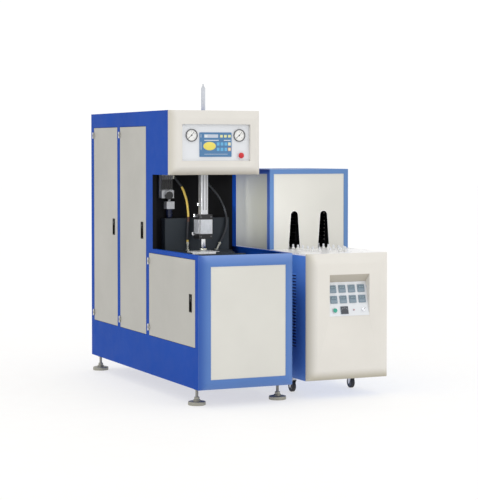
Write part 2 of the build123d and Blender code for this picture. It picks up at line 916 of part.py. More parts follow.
with BuildPart() as clamp_bed:
    bed_y = (end_plate_y, rear_platen_y + platen_thickness)
    block(span(middle, platen_width), bed_y, (platen_span[0] - clamp_bed_height, platen_span[0]))
    for x in (middle - platen_width / 2, middle + platen_width / 2 - clamp_leg_size):
        for y in (bed_y[0], bed_y[1] - clamp_leg_size):
            block((x, x + clamp_leg_size), (y, y + clamp_leg_size), (deck_z, platen_span[0] - clamp_bed_height))
finish(clamp_bed, "clamp_bed")

# Sheet guard that covers the rear of the clamp and stands against the bulkhead.
guard_back = bulkhead
guard_x = (left + guard_left, left + guard_left + guard_width)
with BuildPart() as clamp_guard:
    block(guard_x, (guard_back - guard_depth, guard_back), (guard_bottom, guard_top))
    block(
        (guard_x[0] + sheet, guard_x[1] - sheet),
        (guard_back - guard_depth + sheet, guard_back),
        (guard_bottom, guard_top - sheet),
        mode=Mode.SUBTRACT,
    )
finish(clamp_guard, "clamp_guard")

# Valve bank on the bulkhead: a manifold with slim valves, a regulator with its knob, and a filter with its bowl.
valve_face = bulkhead - valve_depth
manifold_right = left + valve_left + valve_count * valve_pitch + valve_slot
with BuildPart() as valve_bank:
    block(
        (left + valve_left, manifold_right),
        (bulkhead - manifold_depth, bulkhead),
        (valve_bottom - manifold_drop, valve_top),
    )
    for step in range(valve_count):
        valve_x = left + valve_left + valve_slot / 2 + step * valve_pitch
        block(
            (valve_x, valve_x + valve_pitch - valve_slot),
            (valve_face, bulkhead - manifold_depth),
            (valve_bottom, valve_top),
        )
    block(
        span(left + regulator_left, regulator_width),
        (valve_face, bulkhead),
        (valve_bottom - regulator_drop, valve_bottom - valve_slot),
    )
    knob_z = valve_bottom - (regulator_drop + valve_slot) / 2
    with BuildSketch(Plane(origin=(left + regulator_left, valve_face, knob_z), x_dir=(1, 0, 0), z_dir=(0, -1, 0))):
        Circle(regulator_knob_radius)
    extrude(amount=regulator_knob_length)
    block(
        span(left + filter_left, filter_width),
        (valve_face, bulkhead),
        span(filter_height, filter_body),
    )
    with BuildSketch(Plane.XY.offset(filter_height - filter_body / 2)):
        with Locations((left + filter_left, valve_face + valve_depth / 2)):
            Circle(bowl_radius)
    extrude(amount=-bowl_length)
    with BuildSketch(Plane.XY.offset(filter_height + filter_body / 2)):
        with Locations((left + filter_left, valve_face + valve_depth / 2)):
            Circle(nipple_radius)
    extrude(amount=valve_bottom - regulator_drop - filter_height - filter_body / 2)
    chamfer(valve_bank.faces().sort_by(Axis.Z)[0].edges(), bowl_radius / 2)
finish(valve_bank, "valve_bank")

# Unions: two stand on the rear platen, one upright and one leaning, and each hose ends in a smaller one above.
union_y = rear_platen_y + platen_thickness / 2
union_top = platen_span[1]
lean = radians(union_lean)
upright = Vector(left + left_union, union_y, union_top + union_length)
leaning = Vector(left + right_union + union_length * sin(lean), union_y, union_top + union_length * cos(lean))
yellow_end = Vector(manifold_right + end_fitting, bulkhead - manifold_depth - end_fitting, valve_top - end_fitting)
black_end = Vector(
    left + black_fitting_right, bulkhead - black_fitting_forward, head_underside - end_fitting - 2
)

# Routes of the two hoses, from the platen upwards: they bow out to the right, and come back over the bay.
# Each point is set off from an end of its hose by shares of the height that the hose climbs.
yellow_climb = yellow_end.Z - upright.Z
yellow_route = [
    upright,
    upright + Vector(0, 0, 0.175) * yellow_climb,
    upright + Vector(0.02, 0, 0.371) * yellow_climb,
    upright + Vector(0.004, 0.026, 0.622) * yellow_climb,
    upright + Vector(-0.055, 0.057, 0.825) * yellow_climb,
    yellow_end + Vector(0.048, -0.02, -0.07) * yellow_climb,
    yellow_end,
]
black_climb = black_end.Z - leaning.Z
black_route = [
    leaning,
    leaning + Vector(sin(lean), 0, cos(lean)) * 0.124 * black_climb,
    leaning + Vector(0.109, 0.002, 0.259) * black_climb,
    leaning + Vector(0.1, 0.011, 0.428) * black_climb,
    leaning + Vector(0.045, 0.024, 0.59) * black_climb,
    leaning + Vector(-0.043, 0.045, 0.738) * black_climb,
    leaning + Vector(-0.143, 0.077, 0.858) * black_climb,
    black_end + Vector(0.015, -0.011, -0.068) * black_climb,
    black_end,
]

with BuildPart() as hose_unions:
    for x, tilt in ((left_union, 0), (right_union, lean)):
        foot = Plane(
            origin=(left + x, union_y, union_top), x_dir=(cos(tilt), 0, -sin(tilt)), z_dir=(sin(tilt), 0, cos(tilt))
        )
        with BuildSketch(Plane.XY.offset(union_top)):
            with Locations((left + x, union_y)):
                RegularPolygon(13, 6)
        extrude(amount=12)
        with BuildSketch(foot.offset(6)):
            Circle(hose_radius - 1)
        extrude(amount=union_length - 6)
        with BuildSketch(foot.offset(union_length - 16)):
            RegularPolygon(hose_radius + 3, 6)
        extrude(amount=12)
    block(
        (manifold_right, manifold_right + end_fitting / 2 - 1),
        (bulkhead - manifold_depth - 2 * end_fitting, bulkhead - manifold_depth + end_fitting / 2),
        (valve_top - 2 * end_fitting, valve_top),
    )
    with BuildSketch(Plane(origin=yellow_end, z_dir=yellow_end - yellow_route[-2])):
        Circle(hose_radius - 1)
    extrude(amount=end_fitting)
    with BuildSketch(Plane.XY.offset(head_underside)):
        with Locations((black_end.X, black_end.Y)):
            RegularPolygon(13, 6)
    extrude(amount=-end_fitting / 2)
    with BuildSketch(Plane(origin=black_end, z_dir=black_end - black_route[-2])):
        Circle(hose_radius - 1)
    extrude(amount=end_fitting / 2 + 4)
finish(hose_unions, "hose_unions")


def hose(label, route):
    """Flexible hose: straight runs joined by arcs as large as the shorter run beside each of them allows."""
    radii = []
    for before, corner, after in zip(route, route[1:], route[2:]):
        turn = radians((corner - before).get_angle(after - corner))
        shorter = min((corner - before).length, (after - corner).length)
        radii.append(0.45 * shorter / tan(turn / 2))
    print(label, "arc radii", [round(radius) for radius in radii])
    with BuildPart() as tube:
        with BuildLine() as line:
            FilletPolyline(*route, radius=radii)
        with BuildSketch(Plane(origin=route[0], z_dir=route[1] - route[0])):
            Circle(hose_radius)
        sweep()
    length = sum(edge.length for edge in line.line.edges())
    print(label, "length", round(length), "volume over section", round(tube.part.volume / pi / hose_radius**2))
    finish(tube, label)


hose("air_hose_yellow", yellow_route)
hose("air_hose_black", black_route)

# Electric plate on the inside of the right side: standoffs, mounting plate and rows of rail-mounted devices.
first_breakers = electric_top - device_margin - controller_height - breaker_pitch
device_rows = [
    (electric_top - device_margin - controller_height, controller_height, controller_depth),
    (first_breakers - breaker_height / 5, breaker_height, breaker_depth),
    (first_breakers - breaker_pitch - breaker_height / 5, breaker_height, breaker_depth),
    (electric_bottom + device_margin, transformer_height, transformer_depth),
]
electric_y = (rear - electric_inset - electric_width, rear - electric_inset)
with BuildPart() as electric_plate:
    plate_x = inside_right - 4
    block((plate_x, plate_x + 3), electric_y, (electric_bottom, electric_top))
    for y in (electric_y[0] + 15, electric_y[1] - 15):
        for z in (electric_bottom + 20, electric_top - 20):
            block((plate_x + 3, right - sheet), span(y, 16), span(z, 16))
    for row_z, row_height, row_depth in device_rows:
        block(
            (plate_x - row_depth, plate_x),
            (electric_y[0] + 40, electric_y[1] - 40),
            (row_z, row_z + row_height),
        )
finish(electric_plate, "electric_plate")

# Oven cabinet: closed housing with a slot for the sloping panel in front and pressed louvers on the left side.
control_x = span(oven_middle, control_width)
oven_face = oven_front - oven_moulding_depth
knee_y = oven_face + control_depth
slope = atan2(control_depth, control_knee - control_bottom)


def control_hollow():
    """Wedge-shaped hollow of the sloping control panel, cut across the front of the oven."""
    with BuildSketch(Plane.YZ.offset(control_x[0])) as wedge:
        with BuildLine():
            Polyline((oven_face, control_bottom), (knee_y, control_knee), (oven_face, control_top), close=True)
        make_face()
    extrude(wedge.sketch, amount=control_width, mode=Mode.SUBTRACT)


with BuildPart() as oven_cabinet:
    block((oven_left, oven_right), (oven_front, oven_rear), (oven_lift, table_height - table_thickness))
    control_hollow()
    block(
        (oven_left + sheet, oven_right - sheet),
        (oven_front + oven_front_wall, oven_rear - sheet),
        (oven_lift + sheet, table_height - table_thickness - sheet),
        mode=Mode.SUBTRACT,
    )
    louver_top = table_height - louver_drop
    with BuildSketch(Plane.XZ.offset(-(oven_front + louver_start))):
        with Locations(*[(oven_left, louver_top - louver_pitch * step) for step in range(louver_count)]):
            Polygon((0, -louver_height), (-louver_proud, -louver_height), (0, 0), align=None)
    extrude(amount=-louver_length)
finish(oven_cabinet, "oven_cabinet")

oven_shell = bevelled_moulding(
    oven_front,
    (oven_left, oven_right),
    (oven_lift, table_height),
    oven_moulding_depth,
    oven_bevel_inset,
    oven_bevel_round,
)
with BuildPart() as oven_moulding:
    add(oven_shell.part)
    control_hollow()
finish(oven_moulding, "oven_moulding")

# Sloping control plate with its controllers, meter, pilot light and the collar of the start button.
slope_plane = Plane(
    origin=(oven_middle, oven_face, control_bottom), x_dir=(1, 0, 0), z_dir=(0, -cos(slope), sin(slope))
)
slope_length = control_depth / sin(slope)
plate_start = control_plate / sin(slope) + 1
with BuildPart() as control_panel:
    with BuildSketch(slope_plane):
        with Locations((0, (plate_start + slope_length) / 2)):
            Rectangle(control_width, slope_length - plate_start)
    extrude(amount=control_plate)
finish(control_panel, "control_panel")

plate_face = slope_plane.offset(control_plate)
columns = [controller_pitch * (step - 1.5) for step in range(4)]
with BuildPart() as controllers:
    with BuildSketch(plate_face):
        for row in range(2):
            with Locations(*[(x, controller_first_row - row * controller_row_pitch) for x in columns]):
                Rectangle(controller_size, controller_size)
        with Locations((columns[1], button_row)):
            Rectangle(controller_size + 4, controller_size)
    extrude(amount=controller_proud)
    with BuildSketch(plate_face):
        with Locations((columns[0], button_row)):
            Circle(button_radius + 3)
            Circle(button_radius + fit_gap, mode=Mode.SUBTRACT)
        with Locations((columns[2], button_row)):
            Circle(5)
    extrude(amount=controller_proud)
finish(controllers, "controllers")

button_lift = button_travel + 0.5
with BuildPart() as start_button:
    with BuildSketch(plate_face.offset(button_lift)):
        with Locations((columns[0], button_row)):
            Circle(button_radius)
    extrude(amount=controller_proud + 4)
    chamfer(start_button.edges().sort_by(Axis((0, 0, 0), tuple(plate_face.z_dir)))[-1], 3)
finish(start_button, "start_button")

with BuildPart() as selector_knob:
    with BuildSketch(plate_face.offset(fit_gap)):
        with Locations((columns[3], button_row)):
            Circle(knob_radius)
    extrude(amount=6)
    with BuildSketch(plate_face.offset(6 + fit_gap)):
        with Locations((columns[3], button_row)):
            SlotOverall(2 * knob_radius - 2, 9, rotation=50)
    extrude(amount=12)
finish(selector_knob, "selector_knob")

# Table top, with the groove that guides the preform holders round from one tunnel to the other.
chain_run = chain_rear_setback - chain_front_setback
chain_middle = front + (chain_front_setback + chain_rear_setback) / 2
with BuildPart() as table_top:
    block((oven_left, oven_right), (oven_front, oven_rear), (table_height - table_thickness, table_height))
    with BuildSketch(Plane.XY.offset(table_height)):
        with Locations((oven_middle, chain_middle)):
            SlotCenterToCenter(chain_run, 2 * arch_half_spacing + slot_width, rotation=90)
            SlotCenterToCenter(chain_run, 2 * arch_half_spacing - slot_width, rotation=90, mode=Mode.SUBTRACT)
    extrude(amount=-slot_depth, mode=Mode.SUBTRACT)
finish(table_top, "table_top")

# Preform holders, evenly spaced round the groove.
bend_length = pi * arch_half_spacing
loop_length = 2 * (chain_run + bend_length)


def loop_place(distance):
    """Point on the oval track at a distance from the rear end of its left straight, run forwards first."""
    if distance < chain_run:
        return (oven_middle - arch_half_spacing, front + chain_rear_setback - distance)
    distance -= chain_run
    if distance < bend_length:
        turn = pi + distance / arch_half_spacing
        return (
            oven_middle + arch_half_spacing * cos(turn),
            front + chain_front_setback + arch_half_spacing * sin(turn),
        )
    distance -= bend_length
    if distance < chain_run:
        return (oven_middle + arch_half_spacing, front + chain_front_setback + distance)
    turn = (distance - chain_run) / arch_half_spacing
    return (oven_middle + arch_half_spacing * cos(turn), front + chain_rear_setback + arch_half_spacing * sin(turn))


spindle_places = [loop_place(loop_length * step / spindle_count) for step in range(spindle_count)]
with BuildPart() as preform_holders:
    with BuildSketch(Plane.XY.offset(table_height)):
        with Locations(*spindle_places):
            RegularPolygon(spindle_base / 2, 6)
    extrude(amount=spindle_base_height)
    with BuildSketch(Plane.XY.offset(table_height + spindle_base_height)):
        with Locations(*spindle_places):
            RegularPolygon(spindle_stem / 2, 6)
    extrude(amount=spindle_height - spindle_base_height)
finish(preform_holders, "preform_holders")

# Lamp hood: four posts under a flat cap, a cream front with two tunnel mouths, and sheets on the other sides.
hood_front = front + hood_setback
hood_floor = table_height
cap_bottom = hood_top - hood_rail
with BuildPart() as hood_frame:
    block((oven_left, oven_right), (hood_front, oven_rear), (cap_bottom, hood_top))
    for x in (oven_left, oven_right - hood_rail):
        for y in (hood_front, oven_rear - hood_post_depth):
            block((x, x + hood_rail), (y, y + hood_post_depth), (hood_floor, cap_bottom))
finish(hood_frame, "hood_frame")

with BuildPart() as hood_mouths:
    panel_y = hood_front + hood_panel_recess
    block((oven_left + hood_rail, oven_right - hood_rail), (panel_y, panel_y + sheet), (hood_floor, cap_bottom))
    with BuildSketch(Plane(origin=(oven_middle, panel_y, hood_floor), x_dir=(1, 0, 0), z_dir=(0, -1, 0))):
        for x in (-arch_half_spacing, arch_half_spacing):
            with BuildLine():
                Polyline(
                    (x - arch_shoulder_width / 2, arch_shoulder_height),
                    (x - arch_base_width / 2, 0),
                    (x + arch_base_width / 2, 0),
                    (x + arch_shoulder_width / 2, arch_shoulder_height),
                )
                ThreePointArc(
                    (x + arch_shoulder_width / 2, arch_shoulder_height),
                    (x, arch_height),
                    (x - arch_shoulder_width / 2, arch_shoulder_height),
                )
            make_face()
    extrude(amount=-sheet, mode=Mode.SUBTRACT)
finish(hood_mouths, "hood_mouths")

with BuildPart() as hood_sides:
    for x in (oven_left + hood_panel_recess, oven_right - hood_panel_recess - sheet):
        block((x, x + sheet), (hood_front + hood_post_depth, oven_rear - hood_post_depth), (hood_floor, cap_bottom))
    block(
        (oven_left + hood_rail, oven_right - hood_rail),
        (oven_rear - hood_panel_recess - sheet, oven_rear - hood_panel_recess),
        (hood_floor, cap_bottom),
    )
finish(hood_sides, "hood_sides")

# Lamp banks: along each track a reflector with end plates and eight quartz lamps, and a plain reflector opposite.
lamp_y = (hood_front + hood_post_depth, oven_rear - hood_post_depth - 40)
lamp_z = (hood_floor, hood_floor + lamp_first_height + lamp_pitch * lamp_count)
with BuildPart() as lamp_banks:
    for track in (oven_middle - arch_half_spacing, oven_middle + arch_half_spacing):
        wall_x = track + lamp_offset + 2 * lamp_radius + 4
        block((wall_x, wall_x + reflector_thickness), lamp_y, lamp_z)
        block((track - wall_x + track - reflector_thickness, track - wall_x + track), lamp_y, lamp_z)
        for y in (lamp_y[0], lamp_y[1] - reflector_thickness):
            block((track + lamp_offset - 7, wall_x), (y, y + reflector_thickness), (hood_floor + 40, lamp_z[1]))
        lamp_start = (track, lamp_y[0] + reflector_thickness, hood_floor)
        lamp_plane = Plane(origin=lamp_start, x_dir=(1, 0, 0), z_dir=(0, -1, 0))
        with BuildSketch(lamp_plane):
            with Locations(
                *[(lamp_offset + lamp_radius, lamp_first_height + lamp_pitch * step) for step in range(lamp_count)]
            ):
                RegularPolygon(lamp_radius, 8)
        extrude(amount=-(lamp_y[1] - lamp_y[0] - 2 * reflector_thickness))
finish(lamp_banks, "lamp_banks")

# Castors: four mounting plates under the oven, two rigid forks at the rear and two swivelling forks in front.
castor_x = (oven_left + castor_side_inset, oven_right - castor_side_inset)
front_castor_y = oven_front + castor_front_setback
rear_castor_y = oven_rear - castor_rear_setback
plate_bottom = oven_lift - castor_plate


def fork(x, y, crown_top):
    """Castor fork over a wheel behind its pivot: crown, two cheeks and the axle between them."""
    wheel_y = y + castor_trail
    crown_bottom = 2 * castor_wheel_radius + castor_crown_clearance
    inner = castor_wheel_width / 2 + 1
    with BuildSketch(Plane.XY.offset(crown_bottom)) as crown:
        with Locations((x, y + castor_trail / 2)):
            SlotCenterToCenter(castor_trail, 2 * (inner + castor_cheek), rotation=90)
    extrude(crown.sketch, amount=castor_crown)
    with BuildSketch(Plane.XY.offset(crown_bottom + castor_crown)) as pivot:
        with Locations((x, y)):
            RegularPolygon(castor_pivot_radius, 12)
    extrude(pivot.sketch, amount=crown_top - crown_bottom - castor_crown)
    for cheek_x in (x - inner - castor_cheek, x + inner):
        with BuildSketch(Plane.YZ.offset(cheek_x)) as cheek:
            with BuildLine():
                Polyline(
                    (wheel_y - 11, castor_wheel_radius),
                    (y - 16, crown_bottom),
                    (wheel_y + 16, crown_bottom),
                    (wheel_y + 11, castor_wheel_radius),
                )
                ThreePointArc(
                    (wheel_y + 11, castor_wheel_radius),
                    (wheel_y, castor_wheel_radius - 11),
                    (wheel_y - 11, castor_wheel_radius),
                )
            make_face()
        extrude(cheek.sketch, amount=castor_cheek)
    with BuildSketch(Plane.YZ.offset(x - inner)) as axle:
        with Locations((wheel_y, castor_wheel_radius)):
            RegularPolygon(castor_axle_radius, 10)
    extrude(axle.sketch, amount=2 * inner)


with BuildPart() as castor_mounts:
    for x in castor_x:
        for y in (front_castor_y, rear_castor_y):
            block(span(x, castor_plate_size), span(y, castor_plate_size), (plate_bottom, oven_lift))
        fork(x, rear_castor_y, plate_bottom)
finish(castor_mounts, "castor_mounts")

for side, x in zip(("left", "right"), castor_x):
    with BuildPart() as swivel_fork:
        fork(x, front_castor_y, plate_bottom - fit_gap)
    finish(swivel_fork, f"castor_fork_{side}")

for row, y in (("front", front_castor_y), ("rear", rear_castor_y)):
    for side, x in zip(("left", "right"), castor_x):
        with BuildPart() as wheel:
            with BuildSketch(Plane.YZ.offset(x - castor_wheel_width / 2)):
                with Locations((y + castor_trail, castor_wheel_radius)):
                    Circle(castor_wheel_radius)
                    Circle(castor_axle_radius + fit_gap, mode=Mode.SUBTRACT)
            extrude(amount=castor_wheel_width)
            chamfer(wheel.edges().filter_by(GeomType.CIRCLE).group_by(SortBy.RADIUS)[-1], 4)
        finish(wheel, f"castor_wheel_{row}_{side}")
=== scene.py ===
from math import atan2, radians

import bmesh
import bpy
import numpy as np
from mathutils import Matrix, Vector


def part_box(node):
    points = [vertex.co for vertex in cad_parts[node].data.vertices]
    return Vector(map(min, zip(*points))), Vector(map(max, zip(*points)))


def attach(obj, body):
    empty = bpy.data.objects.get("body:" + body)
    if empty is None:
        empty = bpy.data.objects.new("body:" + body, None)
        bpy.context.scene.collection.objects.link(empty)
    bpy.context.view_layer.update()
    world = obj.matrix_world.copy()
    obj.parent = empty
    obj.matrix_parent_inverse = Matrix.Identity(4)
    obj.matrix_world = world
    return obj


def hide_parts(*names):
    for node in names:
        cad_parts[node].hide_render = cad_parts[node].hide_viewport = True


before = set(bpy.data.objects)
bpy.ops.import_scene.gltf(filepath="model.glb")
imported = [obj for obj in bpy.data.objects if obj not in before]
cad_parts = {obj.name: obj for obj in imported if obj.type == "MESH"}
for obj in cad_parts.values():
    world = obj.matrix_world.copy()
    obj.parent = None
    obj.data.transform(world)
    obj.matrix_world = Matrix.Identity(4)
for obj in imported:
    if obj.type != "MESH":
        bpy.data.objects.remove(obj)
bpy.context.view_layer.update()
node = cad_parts


# Studio: a pale floor that runs out of sight, an even white sky and five soft lamps.
# Two of the lamps hang in the gap between the two units, where the sky does not reach.
# The camera stands where the photographer stood, a long way off at eye height, looking a little down.
def placed(name, data):
    """Object that shows the data, linked into the scene."""
    made = bpy.data.objects.new(name, data)
    bpy.context.scene.collection.objects.link(made)
    return made


eye = bpy.data.cameras.new("eye")
eye.sensor_fit = "VERTICAL"
eye.sensor_height = 36
eye.lens = 117.28
eye.shift_y = -0.0868
eye.clip_end = 200
stand = placed("eye", eye)
stand.location = (-4.8632, -10.8161, 1.6941)
stand.rotation_euler = (radians(87.995), 0, radians(-24.402))
bpy.context.scene.camera = stand
bpy.context.scene.view_settings.view_transform = "Standard"

sky = bpy.data.worlds.new("white studio")
sky.use_nodes = True
sky.node_tree.nodes["Background"].inputs["Color"].default_value = (1.0, 1.0, 1.0, 1)
sky.node_tree.nodes["Background"].inputs["Strength"].default_value = 1.04
bpy.context.scene.world = sky


def soft_lamp(name, place, turn, size, power, spread=180):
    """Square area lamp, turned to face the machine, whose beam opens by the spread in degrees."""
    lamp = bpy.data.lights.new(name, "AREA")
    lamp.size = size
    lamp.energy = power
    lamp.spread = radians(spread)
    holder = placed(name, lamp)
    holder.visible_camera = False
    holder.location = place
    holder.rotation_euler = [radians(angle) for angle in turn]


soft_lamp("key", (3.0, -6.5, 5.0), (52, 0, 25), 4.0, 45)
soft_lamp("left_fill", (-7.0, -2.5, 4.2), (62, 0, -72), 3.5, 18)
soft_lamp("bay_fill", (-2.2, -1.9, 1.27), (90, 0, -54.5), 0.3, 0.55, 16)
soft_lamp("hood_gap_fill", (-0.028, 0.17, 1.25), (90, 0, -90), 0.5, 0.78)
soft_lamp("oven_gap_fill", (-0.029, -0.87, 0.9), (90, 0, -90), 0.25, 0.11)


# The floor of the studio is one smooth pale sheet, large enough to run past the picture on every side.
# Its finish is a matt white with a slow drift of shade, mixed from the same nodes as the paints below.
# It is lit from beneath like a light table, which keeps the shadows on it pale.
def feed(made, sockets, target=None):
    """Set sockets of a material's node to their values, or link those whose value is an output.

    The node is the Principled shader unless another one is named.
    """
    target = target or made.node_tree.nodes["Principled BSDF"]
    for socket, value in sockets.items():
        if isinstance(value, bpy.types.NodeSocket):
            made.node_tree.links.new(value, target.inputs[socket])
        else:
            target.inputs[socket].default_value = value


def shader_node(made, kind, sockets=None):
    """New shader node of a kind in a material, with its sockets fed."""
    fresh = made.node_tree.nodes.new("ShaderNode" + kind)
    feed(made, sockets or {}, fresh)
    return fresh


def shader(name, colour, roughness, metallic=0.0, coat=0.0):
    """Material with a Principled shader whose constant sockets are set and nothing yet linked."""
    made = bpy.data.materials.new(name)
    made.use_nodes = True
    base = {"Base Color": (*colour, 1), "Roughness": roughness, "Metallic": metallic, "Coat Weight": coat}
    feed(made, base)
    return made


def grain(made, scale, detail, stretch=(1, 1, 1)):
    """Noise on Object coordinates, stretched along the axes, whose value is about 0 to 1."""
    place = shader_node(made, "TexCoord")
    lay = shader_node(made, "Mapping", {"Scale": stretch, "Vector": place.outputs["Object"]})
    noise = shader_node(made, "TexNoise", {"Scale": scale, "Detail": detail, "Vector": lay.outputs["Vector"]})
    return noise.outputs["Fac"]


def vary(made, socket, value, low, high):
    """Spread the middle of a 0 to 1 value between two numbers and feed it to one socket of the shader."""
    span = {"From Min": 0.3, "From Max": 0.7, "To Min": low, "To Max": high, "Value": value}
    feed(made, {socket: shader_node(made, "MapRange", span).outputs["Result"]})


def tint(made, value, dark, light):
    """Blend two colours by the middle of a 0 to 1 value and feed that to the shader's base colour."""
    blend = shader_node(made, "ValToRGB", {"Fac": value})
    for stop, position, colour in zip(blend.color_ramp.elements, (0.3, 0.7), (dark, light)):
        stop.position = position
        stop.color = (*colour, 1)
    feed(made, {"Base Color": blend.outputs["Color"]})


def relief(made, value, height):
    """Bump the surface by a 0 to 1 value times a height in metres."""
    bump = shader_node(made, "Bump", {"Distance": height, "Strength": 0.6, "Height": value})
    feed(made, {"Normal": bump.outputs["Normal"]})


def shades(colour, share):
    """A darker and a lighter shade of a colour, each off by the share."""
    return [part * (1 - share) for part in colour], [min(part * (1 + share), 1) for part in colour]


def powder_coat(name, colour, roughness=0.42, peel=0.0004, drift=0.04, gloss=0.5):
    """Baked powder paint: a fine orange-peel relief, with slow drifts of shade and gloss over the sheet."""
    made = shader(name, colour, roughness)
    feed(made, {"Specular IOR Level": gloss})
    tint(made, grain(made, 2.2, 3), *shades(colour, drift))
    vary(made, "Roughness", grain(made, 9, 4), roughness - 0.05, roughness + 0.07)
    relief(made, grain(made, 420, 2), peel)
    return made


floor_white = powder_coat("matt white floor", (0.34, 0.34, 0.34), 0.7, 0.00002, 0.01, 0.1)
feed(floor_white, {"Emission Color": (1.0, 0.99, 0.97, 1), "Emission Strength": 0.63})
floor_reach = 60
floor_mesh = bpy.data.meshes.new("floor")
corners = np.array([(-1, -1, 0), (1, -1, 0), (1, 1, 0), (-1, 1, 0)]) * floor_reach
floor_mesh.from_pydata(corners, [], [(0, 1, 2, 3)])
floor_mesh.materials.append(floor_white)
floor = placed("floor", floor_mesh)


# Two air hoses of extruded polyurethane tube, a yellow and a black one, pushed on to a union at either end.
# They climb from the rear platen to the valves and the head in one smooth bow, stiff enough to hold it.
# The yellow one is made here, and gets its sleeves next.
def placed_piece(name, data, body="machine", replaced=None):
    """Object that rides a body, and hides the CAD node that it replaces, where there is one."""
    piece = placed(name, data)
    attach(piece, body)
    if replaced:
        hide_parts(replaced)
    return piece


def air_hose(name, route, finish, replaced):
    """Tube round a smooth spline that is drawn to the route's points, which are in metres."""
    line = bpy.data.curves.new(name, "CURVE")
    line.dimensions = "3D"
    line.bevel_depth = hose_diameter / 2
    line.bevel_resolution = 6
    line.resolution_u = 10
    run = line.splines.new("NURBS")
    run.points.add(len(route) - 1)
    run.points.foreach_set("co", np.column_stack([route, np.ones(len(route))]).ravel())
    run.order_u = 3
    run.use_endpoint_u = True
    line.materials.append(finish)
    return placed_piece(name, line, replaced=replaced)


hose_diameter = 0.016
yellow_route = [
    (-0.449, -0.207, 1.044),
    (-0.449, -0.207, 1.124),
    (-0.440, -0.207, 1.214),
    (-0.447, -0.195, 1.329),
    (-0.474, -0.181, 1.422),
    (-0.505, -0.159, 1.470),
    (-0.527, -0.150, 1.502),
]
yellow_tube = powder_coat("yellow polyurethane", (0.86, 0.62, 0.12), 0.3, 0.00005, 0.12)
yellow_hose = air_hose("yellow_hose", yellow_route, yellow_tube, "air_hose_yellow")


# Sleeves of the yellow hose: a brown braid below the bare tube, with a black wrap under it. The black sleeve
# at the top is painted shade, where the hose runs up into the shade of the head. Each is slid over the tube.
# Its rings are circles square to the hose's own line.
def make_piece(name, grids, finish, body="machine", replaced=None):
    """One mesh of grids of points, with a quad between each four neighbours of a grid.

    Points that meet are merged, which closes seams and poles, and then every face is turned outwards.
    The shading breaks where two faces meet at more than 32 degrees.
    """
    points = np.concatenate([grid.reshape(-1, 3) for grid in grids])
    quads = []
    start = 0
    for grid in grids:
        rows, columns = grid.shape[:2]
        number = np.arange(rows * columns).reshape(rows, columns) + start
        corner = (number[:-1, :-1], number[:-1, 1:], number[1:, 1:], number[1:, :-1])
        quads.append(np.stack(corner, -1).reshape(-1, 4))
        start += rows * columns
    mesh = bpy.data.meshes.new(name)
    mesh.from_pydata(points, [], np.concatenate(quads))
    work = bmesh.new()
    work.from_mesh(mesh)
    bmesh.ops.remove_doubles(work, verts=work.verts, dist=0.000005)
    bmesh.ops.recalc_face_normals(work, faces=work.faces)
    work.to_mesh(mesh)
    work.free()
    mesh.shade_smooth()
    mesh.set_sharp_from_angle(angle=radians(32))
    mesh.materials.append(finish)
    return placed_piece(name, mesh, body, replaced)


def drawn(curve):
    """Mesh that a curve or a text draws, and its points as an array. The curve itself is taken away."""
    holder = placed("drawn", curve)
    bpy.context.view_layer.update()
    mesh = bpy.data.meshes.new_from_object(holder.evaluated_get(bpy.context.evaluated_depsgraph_get()))
    bpy.data.objects.remove(holder)
    bpy.data.curves.remove(curve)
    spots = np.empty(len(mesh.vertices) * 3)
    mesh.vertices.foreach_get("co", spots)
    return mesh, spots.reshape(-1, 3)


def sleeve(name, low, high, radius, finish):
    """Tube about the part of the yellow hose's line between two heights, closed on the hose at both ends."""
    bare = yellow_hose.data.copy()
    bare.bevel_depth = 0
    line, spots = drawn(bare)
    bpy.data.meshes.remove(line)
    spots = spots[(spots[:, 2] >= low) & (spots[:, 2] < high)]
    run = np.gradient(spots, axis=0)
    run /= np.linalg.norm(run, axis=1)[:, None]
    first = np.cross(run, (0, 1.0, 0))
    first /= np.linalg.norm(first, axis=1)[:, None]
    second = np.cross(run, first)
    spots, first, second = (np.vstack([rows[:1], rows, rows[-1:]]) for rows in (spots, first, second))
    reach_out = np.full(len(spots), radius)
    reach_out[[0, -1]] = hose_diameter / 2 - sleeve_bite
    angle = np.linspace(0, 2 * np.pi, 33)[:, None, None]
    tube = spots + reach_out[:, None] * (np.cos(angle) * first + np.sin(angle) * second)
    return make_piece(name, [tube], finish)


sleeve_bite = 0.0005
woven = powder_coat("brown woven sleeve", (0.11, 0.05, 0.038), 0.7, 0.0015, 0.3)
braid = sleeve("hose_sleeve", 1.18, 1.226, 0.0093, woven)
black_wrap_and_shade = powder_coat("black hose wrap and painted shade", (0.022, 0.024, 0.03), 0.5, 0.0008, 0.2)
low_wrap = sleeve("hose_low_wrap", 1.05, 1.19, 0.0112, black_wrap_and_shade)
# The top sleeve is painted shade: black where the hose runs into the shade under the head.
top_shade_sleeve = sleeve("hose_top_shade_sleeve", 1.428, 1.6, 0.0092, black_wrap_and_shade)

# Black air hose: the same tube as the yellow one, from the right union on the rear platen, bare all along.
# It bows out to the right, and goes up behind the lower edge of the head.
black_route = [
    (-0.19695, -0.207, 1.0365),
    (-0.1697, -0.207, 1.0877),
    (-0.14595, -0.206, 1.1575),
    (-0.14995, -0.202, 1.2365),
    (-0.17595, -0.196, 1.3125),
    (-0.21695, -0.186, 1.3815),
    (-0.26395, -0.171, 1.4375),
    (-0.284, -0.162, 1.472),
    (-0.291, -0.157, 1.504),
]
black_tube = powder_coat("black polyurethane", (0.03, 0.034, 0.042), 0.28, 0.00005, 0.2)
black_hose = air_hose("black_hose", black_route, black_tube, "air_hose_black")


# Blue sheet work of the blower: folded steel sheets on a welded base frame, powder coated deep blue.
# The roof and rear sheet close the cabinet, and all are screwed to the frame from inside.
def finish_node(made, *names):
    """Give carried-over CAD nodes a finish in their own material slots."""
    for name in names:
        node[name].data.materials.clear()
        node[name].data.materials.append(made)


